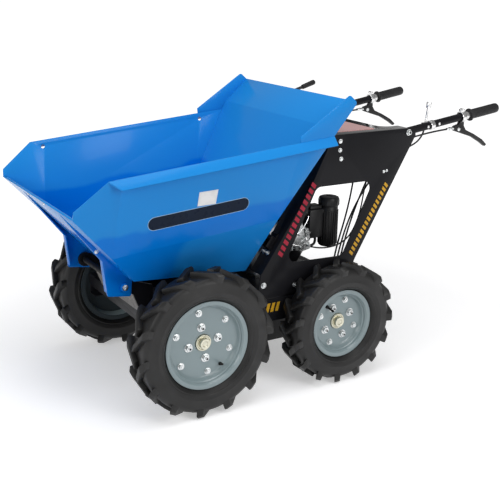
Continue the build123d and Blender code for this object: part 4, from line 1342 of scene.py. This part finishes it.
class DUMPER_OT_carburettor_fittings(bpy.types.Operator):
    """Adds the governor plates, rods, springs and nuts round the carburettor"""

    bl_idname = "dumper.carburettor_fittings"
    bl_label = "Carburettor fittings"

    def execute(self, context):
        bm = bmesh.new()
        for x, outline in GOVERNOR_PLATES:
            rounded = round_outline(outline, GOVERNOR_CORNER, 3)
            add_plate(bm, [(x, p.x, p.y) for p in rounded], GOVERNOR_SHEET, (1, 0, 0))
        for place, radius, stud in GOVERNOR_SCREWS:
            add_hex_bolt(bm, place, (1, 0, 0), radius, stud)
        add_round(bm, (0.108, 0.066, 0.392), (0, 0, 1), 0.006, 0.008, segments=6, bevel=0.0006)
        finish_piece("governor_plates", bm, "chassis", "zinc_steel")
        add_wire("governor_rods", GOVERNOR_RODS, ROD_RADIUS, "chassis", "bright_steel")
        add_wire("governor_spring", [spring_route()], SPRING_WIRE, "chassis", "bright_steel")
        for name, (slot, boxes, bosses) in ENGINE_BLOCKS.items():
            bm = bmesh.new()
            for low, high, ease in boxes:
                add_box(bm, low, high, ease)
            for place, radius, height, sides, ease in bosses:
                add_round(bm, place, (1, 0, 0), radius, height, sides, ease)
            finish_piece(name, bm, "chassis", slot)
        return {"FINISHED"}


# Bolts on the outside of each side plate and rail: places, (y, z), and the head as a share of the
# size that is set
PLATE_BOLTS = [
    ([(0.112, 0.790), (0.112, 0.761), (0.118, 0.732)], 0.72),
    ([(0.299, 0.673), (0.311, 0.675)], 0.5),
]
RAIL_BOLTS = [(-0.169, 0.348), (-0.048, 0.331)]
REAR_BOLT = (0.397, 0.797)
# The rear bolt's recess is a dark disc of painted shade on its head
REAR_RECESS_SHADE = [(0, 0), (0, 0.004), (0.0012, 0.004), (0.0012, 0)]

# Rivets and bolts of the skip, found on its sheets by a ray: (x, z) in front and (y, z) at the sides
RIVET_X = 0.070
RIVET_Z = 0.648
BRACKET_BOLT = (-0.690, 0.510)


class DUMPER_OT_plate_bolts(bpy.types.Operator):
    """Bolts the side plates to the rails, the console and the handlebars"""

    bl_idname = "dumper.plate_bolts"
    bl_label = "Plate bolts"

    def execute(self, context):
        radius = context.scene.dumper_sizes.bolt_radius
        for side, sign in SIDES.items():
            out = (sign, 0, 0)
            face = sign * SIDE_FACE
            bm = bmesh.new()
            for places, share in PLATE_BOLTS:
                for y, z in places:
                    add_dome_bolt(bm, (face, y, z), out, radius * share)
            for y, z in RAIL_BOLTS:
                add_hex_bolt(bm, (face, y, z), out, radius, 0.002)
            y, z = REAR_BOLT
            add_hex_bolt(bm, (face, y, z), out, radius * 1.1, 0.001)
            finish_piece(f"side_plate_bolts_{side}", bm, "chassis", "zinc_steel")
            bm = bmesh.new()
            # Painted shade for the rear bolt's recess
            add_turned(bm, (sign * (SIDE_FACE + radius * 1.11), y, z), out, REAR_RECESS_SHADE, 20)
            finish_piece(f"rear_bolt_recess_shade_{side}", bm, "chassis", "zinc_steel", "valve_black_and_shade")
        bm = bmesh.new()
        for x in (RIVET_X, -RIVET_X):
            place, normal = face_on("skip_floor", Vector((x, -0.95, RIVET_Z)), Vector((0, 1, 0)))
            add_dome_bolt(bm, place, normal, 0.004)
        low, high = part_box("pivot_pin")
        pin = (low + high) / 2
        for side, sign in SIDES.items():
            start = Vector((sign * 0.6, *BRACKET_BOLT))
            place, normal = face_on(f"pivot_bracket_{side}", start, Vector((-sign, 0, 0)))
            add_dome_bolt(bm, place, normal, 0.0045)
            add_hex_bolt(bm, (sign * (high.x + 0.0001), pin.y, pin.z), (sign, 0, 0), 0.0075, 0.002)
        finish_piece("skip_rivets", bm, "skip", "zinc_steel")
        return {"FINISHED"}


# Front flange of a side plate: a low and a high point of its face, (y, z), and its middle's x
FLANGE_LOW = Vector((-0.179, 0.384))
FLANGE_HIGH = Vector((-0.008, 0.629))
FLANGE_X = 0.222

# The latch's bracket on the flange, as (across, up along the flange, out of it): its foot and two ears
LATCH_BOXES = [
    ((-0.018, 0.086, 0.0), (0.018, 0.142, 0.004)),
    ((-0.016, 0.088, 0.003), (-0.011, 0.128, 0.020)),
    ((0.011, 0.088, 0.003), (0.016, 0.128, 0.020)),
]
LATCH_EASE = 0.0012
LATCH_PIN = (-0.019, 0.116, 0.013)
LATCH_PIN_RADIUS = 0.004
LATCH_PIN_LENGTH = 0.038
LATCH_BOLT_RADIUS = 0.0065
LATCH_BOLT_STUD = 0.006
LATCH_BOLTS = [(-0.004, 0.074, 0.0002), (0.016, 0.074, 0.0002)]


class DUMPER_OT_latch(bpy.types.Operator):
    """Fixes the skip latch's bracket to the folded front edge of each side plate"""

    bl_idname = "dumper.latch"
    bl_label = "Latch brackets"

    def execute(self, context):
        along = (FLANGE_HIGH - FLANGE_LOW).normalized()
        up = Vector((0, along.x, along.y))
        out = Vector((0, -along.y, along.x))
        turn = turn_of(Vector((1, 0, 0)), up, out)
        for side, sign in SIDES.items():
            place = Matrix.Translation((sign * FLANGE_X, FLANGE_LOW.x, FLANGE_LOW.y)) @ turn
            bm = bmesh.new()
            for low, high in LATCH_BOXES:
                add_box(bm, low, high, LATCH_EASE)
            add_round(bm, LATCH_PIN, (1, 0, 0), LATCH_PIN_RADIUS, LATCH_PIN_LENGTH, 20, 0.0008)
            bmesh.ops.transform(bm, matrix=place, verts=bm.verts)
            finish_piece(f"latch_bracket_{side}", bm, "chassis", "black_paint")
            bm = bmesh.new()
            for spot in LATCH_BOLTS:
                add_hex_bolt(bm, place @ Vector(spot), out, LATCH_BOLT_RADIUS, LATCH_BOLT_STUD)
            finish_piece(f"latch_bolts_{side}", bm, "chassis", "zinc_steel")
        return {"FINISHED"}


# Labels on the skip's left wall, (y, z): the middles of the pill's round ends, and the sticker
PILL_LOW = Vector((-0.5625, 0.6105))
PILL_HIGH = Vector((-0.2665, 0.634))
PILL_HALF = 0.0215
PILL_EDGE = 0.0016
STICKER = [(-0.426, 0.647), (-0.364, 0.648), (-0.361, 0.693), (-0.424, 0.691)]

# Rows of bars on the left plate and rail, by piece: the row's two ends, (y, z), then each bar's width
# across the row, the count, the slant and the share of the pitch that is filled, and the finish
BAR_ROWS = {
    "front_strut_bars": (((-0.113, 0.434), (0.017, 0.663)), 0.020, 13, 0.004, 0.62, "stripe_front"),
    "rear_strut_bars": (((0.173, 0.398), (0.315, 0.631)), 0.018, 17, 0.004, 0.60, "stripe_rear"),
    "rail_bars": (((-0.163, 0.268), (-0.108, 0.268)), 0.030, 3, 0.008, 0.62, "stripe_rear"),
}

# The console's label, (x, y)
CONSOLE_LABEL = [(-0.225, 0.104), (0.225, 0.104), (0.225, 0.285), (-0.225, 0.285)]
CONSOLE_LABEL_CORNER = 0.008


def pill(low, high, half):
    """The outline of a bar with round ends."""
    along = (high - low).normalized()
    aside = Vector((-along.y, along.x))
    points = []
    for middle, start in ((low, pi / 2), (high, -pi / 2)):
        for i in range(13):
            angle = start + pi * i / 12
            points.append(middle + along * half * cos(angle) + aside * half * sin(angle))
    return points


class DUMPER_OT_labels(bpy.types.Operator):
    """Lays the blank labels and the coloured bars on the left side"""

    bl_idname = "dumper.labels"
    bl_label = "Labels"

    def execute(self, context):
        film = context.scene.dumper_sizes.label_thickness
        wall_labels = {
            "pill_label_edge": (pill(PILL_LOW, PILL_HIGH, PILL_HALF), film, "label_edge"),
            "pill_label": (pill(PILL_LOW, PILL_HIGH, PILL_HALF - PILL_EDGE), film * 1.5, "label_dark"),
            "white_sticker": (STICKER, film, "label_white"),
        }
        for name, (outline, thickness, finish) in wall_labels.items():
            bm = bmesh.new()
            add_film(bm, "skip_wall_left", outline, thickness)
            finish_piece(name, bm, "skip", "skip_paint", finish, smooth=False)
        for name, (ends, width, count, slant, share, finish) in BAR_ROWS.items():
            bm = bmesh.new()
            for bar in slanted_bars(*ends, width, count, slant, share):
                add_plate(bm, [(SIDE_FACE + 0.0002, p.x, p.y) for p in bar], film, (1, 0, 0))
            finish_piece(name, bm, "chassis", "black_paint", finish, smooth=False)
        bm = bmesh.new()
        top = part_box("console")[1].z
        outline = round_outline(CONSOLE_LABEL, CONSOLE_LABEL_CORNER)
        add_plate(bm, [(p.x, p.y, top + 0.0001) for p in outline], film, (0, 0, 1))
        finish_piece("console_label", bm, "chassis", "console_paint", "label_red", smooth=False)
        return {"FINISHED"}


# The skip's sloping front, (y, z) of its outside at the floor and at the lip
SLOPE_LOW = Vector((-0.602, 0.423))
SLOPE_HIGH = Vector((-0.813, 0.654))

# The strip's corners as (x, distance in from the lip), and its ribs by their share of its width
LIP_CORNERS = ((-0.285, 0.002), (0.285, 0.002), (0.272, 0.025), (-0.272, 0.025))
LIP_SHEET = 0.0008
LIP_RIBS = (0.2, 0.5, 0.8)
LIP_RIB_RADIUS = 0.0011


class DUMPER_OT_lip_band(bpy.types.Operator):
    """Lays a ribbed strip along the lip that the load slides over, in a lighter blue of painted reflection
    """

    bl_idname = "dumper.lip_band"
    bl_label = "Lip strip"

    def execute(self, context):
        back = (SLOPE_LOW - SLOPE_HIGH).normalized()
        inward = Vector((0, back.x, back.y))
        out = Vector((0, -back.y, back.x))
        bm = bmesh.new()
        corners = []
        for x, along in LIP_CORNERS:
            start = Vector((x, SLOPE_HIGH.x, SLOPE_HIGH.y)) + inward * along + out * 0.1
            corners.append(face_on("skip_floor", start, -out)[0] + out * 0.0001)
        add_plate(bm, corners, LIP_SHEET, out)
        for share in LIP_RIBS:
            low = corners[0].lerp(corners[3], share)
            high = corners[1].lerp(corners[2], share)
            rib = high - low
            add_round(bm, low + out * 0.0006, rib, LIP_RIB_RADIUS, rib.length, segments=10)
        finish_piece("lip_band", bm, "skip", "skip_paint", "lip_reflection_blue", smooth=False)
        return {"FINISHED"}


# The release lever behind the skip, from its foot on the console to its grip
LEVER_ROUTE = [
    (-0.200, 0.205, 0.812),
    (-0.200, 0.205, 0.850),
    (-0.200, 0.225, 0.884),
    (-0.200, 0.290, 0.903),
    (-0.200, 0.335, 0.917),
]
LEVER_RADIUS = 0.0055
LEVER_GRIP_START = (-0.200, 0.282, 0.9005)
LEVER_GRIP = [(0, 0), (0, 0.0085), (0.048, 0.0095), (0.054, 0.0085), (0.057, 0.005), (0.057, 0)]
LEVER_FOOT_Z = 0.8111
LEVER_FOOT = [(0, 0), (0, 0.017), (0.003, 0.017), (0.004, 0.009), (0.012, 0.008), (0.012, 0)]


class DUMPER_OT_release_lever(bpy.types.Operator):
    """Stands the bent lever that frees the skip on the console"""

    bl_idname = "dumper.release_lever"
    bl_label = "Release lever"

    def execute(self, context):
        add_wire("release_lever_rod", [LEVER_ROUTE], LEVER_RADIUS, "chassis", "lever_black")
        bm = bmesh.new()
        axis = Vector(LEVER_ROUTE[-1]) - Vector(LEVER_ROUTE[-2])
        x, y, _ = LEVER_ROUTE[0]
        add_turned(bm, LEVER_GRIP_START, axis, LEVER_GRIP, 28)
        add_turned(bm, (x, y, LEVER_FOOT_Z), (0, 0, 1), LEVER_FOOT, 32)
        finish_piece("release_lever_grip", bm, "chassis", "lever_black")
        return {"FINISHED"}


# The nose plate, whose grey is painted reflection on the black nose: the top and bottom of the frame's
# sloping nose, (y, z), and the plate's ribs
NOSE_HIGH = Vector((-0.5695, 0.353))
NOSE_LOW = Vector((-0.544, 0.286))
NOSE_HALF = 0.150
NOSE_SHEET = 0.0016
NOSE_MARGIN = 0.002
NOSE_RIBS = 22
NOSE_RIB_START = -0.143
NOSE_RIB_PITCH = 0.0136
NOSE_RIB_HALF = 0.0022


class DUMPER_OT_nose_plate(bpy.types.Operator):
    """Covers the sloping nose of the frame with a ribbed plate, grey as painted reflection"""

    bl_idname = "dumper.nose_plate"
    bl_label = "Nose plate"

    def execute(self, context):
        down = Vector((0, *(NOSE_LOW - NOSE_HIGH).normalized()))
        out = Vector((0, down.z, -down.y))
        length = (NOSE_LOW - NOSE_HIGH).length
        bm = bmesh.new()
        corner = (NOSE_HALF, length - NOSE_MARGIN, NOSE_SHEET)
        add_box(bm, (-NOSE_HALF, NOSE_MARGIN, 0.0), corner, 0.0005)
        for i in range(NOSE_RIBS):
            x = NOSE_RIB_START + i * NOSE_RIB_PITCH
            low = (x - NOSE_RIB_HALF, NOSE_MARGIN * 2, 0.0012)
            high = (x + NOSE_RIB_HALF, length - NOSE_MARGIN * 2, 0.0030)
            add_box(bm, low, high, 0.0008)
        place = Matrix.Translation((0, *NOSE_HIGH)) @ turn_of(Vector((1, 0, 0)), down, out)
        bmesh.ops.transform(bm, matrix=place, verts=bm.verts)
        finish_piece("nose_plate", bm, "chassis", "black_paint", "nose_plate")
        return {"FINISHED"}


# Stage: the camera stands where the photograph was taken from
CAMERA_PLACE = (2.566, -1.654, 1.313)
CAMERA_YAW = radians(31.91)
CAMERA_PITCH = radians(17.19)
CAMERA_ROLL = radians(1.05)
CAMERA_LENS = 65.5
CAMERA_SENSOR = 36

# Each lamp's name, place, the point that it faces, its two sides and its watts
LAMPS = [
    ("lamp above", (0.6, -0.4, 3.4), (0, 0, 0.3), (2.6, 2.6), 52),
    ("lamp left", (3.2, 0.6, 1.9), (0, 0, 0.5), (1.4, 1.8), 38),
    ("lamp front", (1.0, -3.4, 1.8), (0, 0, 0.4), (1.8, 1.4), 30),
]

# Light of the surroundings, how much the floor is lifted near the machine and far from it, between
# two distances from the middle, the floor's white and its half side
WORLD_LIGHT = 0.30
LIFT_NEAR = 0.40
LIFT_FAR = 0.80
LIFT_FROM = 1.0
LIFT_TO = 2.4
FLOOR_WHITE = (0.86, 0.86, 0.87, 1)
FLOOR_REACH = 40.0


def add_camera():
    flat = cos(CAMERA_PITCH)
    ahead = Vector((-cos(CAMERA_YAW) * flat, sin(CAMERA_YAW) * flat, -sin(CAMERA_PITCH)))
    right = ahead.cross(Vector((0, 0, 1))).normalized()
    up = right.cross(ahead)
    rolled_right = cos(CAMERA_ROLL) * right + sin(CAMERA_ROLL) * up
    rolled_up = -sin(CAMERA_ROLL) * right + cos(CAMERA_ROLL) * up
    data = bpy.data.cameras.new("camera")
    data.lens = CAMERA_LENS
    data.sensor_width = CAMERA_SENSOR
    camera = add_object("camera", data)
    camera.matrix_world = Matrix.Translation(CAMERA_PLACE) @ turn_of(rolled_right, rolled_up, -ahead)
    bpy.context.scene.camera = camera


def add_lamp(name, place, target, size, power):
    """A flat lamp that faces a point."""
    data = bpy.data.lights.new(name, "AREA")
    data.shape = "RECTANGLE"
    data.size, data.size_y = size
    data.energy = power
    lamp = add_object(name, data)
    lamp.location = place
    lamp.rotation_euler = (Vector(target) - Vector(place)).to_track_quat("-Z", "Y").to_euler()


def seen_directly(tree, rays=("Is Camera Ray", "Is Glossy Ray", "Is Transmission Ray")):
    """One where a surface is seen by the camera, in a gloss or through glass, and nought where it lights."""
    path = add_node(tree, "ShaderNodeLightPath")
    chosen = path.outputs[rays[0]]
    for ray in rays[1:]:
        chosen = combined(tree, "MAXIMUM", chosen, path.outputs[ray])
    return chosen


def set_world():
    """White round the scene, weaker where it lights than where the camera sees it."""
    world = bpy.data.worlds.new("studio")
    bpy.context.scene.world = world
    world.use_nodes = True
    tree = world.node_tree
    background = tree.nodes["Background"]
    background.inputs["Color"].default_value = (1, 1, 1, 1)
    strength = spread(tree, seen_directly(tree, ("Is Camera Ray",)), WORLD_LIGHT, 1.0, 0.0, 1.0)
    tree.links.new(strength, background.inputs["Strength"])


def add_floor():
    """A white floor that keeps the machine's soft shadow."""
    bm = bmesh.new()
    bmesh.ops.create_grid(bm, x_segments=1, y_segments=1, size=FLOOR_REACH)
    mesh = bpy.data.meshes.new("floor")
    bm.to_mesh(mesh)
    bm.free()
    floor = add_object("floor", mesh)
    material, tree, shader = nodes_of("floor white")
    shader.inputs["Base Color"].default_value = FLOOR_WHITE
    shader.inputs["Roughness"].default_value = 1.0
    shader.inputs["Specular IOR Level"].default_value = 0.0
    shader.inputs["Emission Color"].default_value = (1, 1, 1, 1)
    away = add_node(tree, "ShaderNodeVectorMath", operation="LENGTH")
    tree.links.new(object_place(tree), away.inputs[0])
    rise = spread(tree, away.outputs["Value"], LIFT_NEAR, LIFT_FAR, LIFT_FROM, LIFT_TO)
    lift = combined(tree, "MULTIPLY", seen_directly(tree), rise)
    tree.links.new(lift, shader.inputs["Emission Strength"])
    mesh.materials.append(material)


class DUMPER_OT_stage(bpy.types.Operator):
    """Sets the floor, the lamps and the camera"""

    bl_idname = "dumper.stage"
    bl_label = "Stage"

    def execute(self, context):
        context.scene.view_settings.view_transform = "Standard"
        add_floor()
        set_world()
        for lamp in LAMPS:
            add_lamp(*lamp)
        add_camera()
        return {"FINISHED"}


class DUMPER_PT_panel(bpy.types.Panel):
    """Lists the steps that dress the dumper"""

    bl_label = "Site dumper"
    bl_idname = "DUMPER_PT_panel"
    bl_space_type = "VIEW_3D"
    bl_region_type = "UI"
    bl_category = "Dumper"

    def draw(self, context):
        for step in STEPS:
            self.layout.operator(step.bl_idname)
        for group in (context.scene.dumper_paint, context.scene.dumper_sizes):
            for name in group.__annotations__:
                self.layout.prop(group, name)


STEPS = (
    DUMPER_OT_finishes,
    DUMPER_OT_eased_parts,
    DUMPER_OT_tyres,
    DUMPER_OT_rims,
    DUMPER_OT_wheel_fasteners,
    DUMPER_OT_handlebars,
    DUMPER_OT_cables,
    DUMPER_OT_air_cleaner,
    DUMPER_OT_carburettor_fittings,
    DUMPER_OT_plate_bolts,
    DUMPER_OT_latch,
    DUMPER_OT_labels,
    DUMPER_OT_lip_band,
    DUMPER_OT_release_lever,
    DUMPER_OT_nose_plate,
    DUMPER_OT_stage,
)
CLASSES = (DumperPaint, DumperSizes, *STEPS, DUMPER_PT_panel)


def register():
    for item in CLASSES:
        bpy.utils.register_class(item)
    bpy.types.Scene.dumper_paint = bpy.props.PointerProperty(type=DumperPaint)
    bpy.types.Scene.dumper_sizes = bpy.props.PointerProperty(type=DumperSizes)


def unregister():
    del bpy.types.Scene.dumper_sizes
    del bpy.types.Scene.dumper_paint
    for item in reversed(CLASSES):
        bpy.utils.unregister_class(item)


def main():
    register()
    for step in STEPS:
        getattr(bpy.ops.dumper, step.bl_idname.split(".")[1])()
    bpy.context.view_layer.update()


if __name__ == "__main__":
    main()
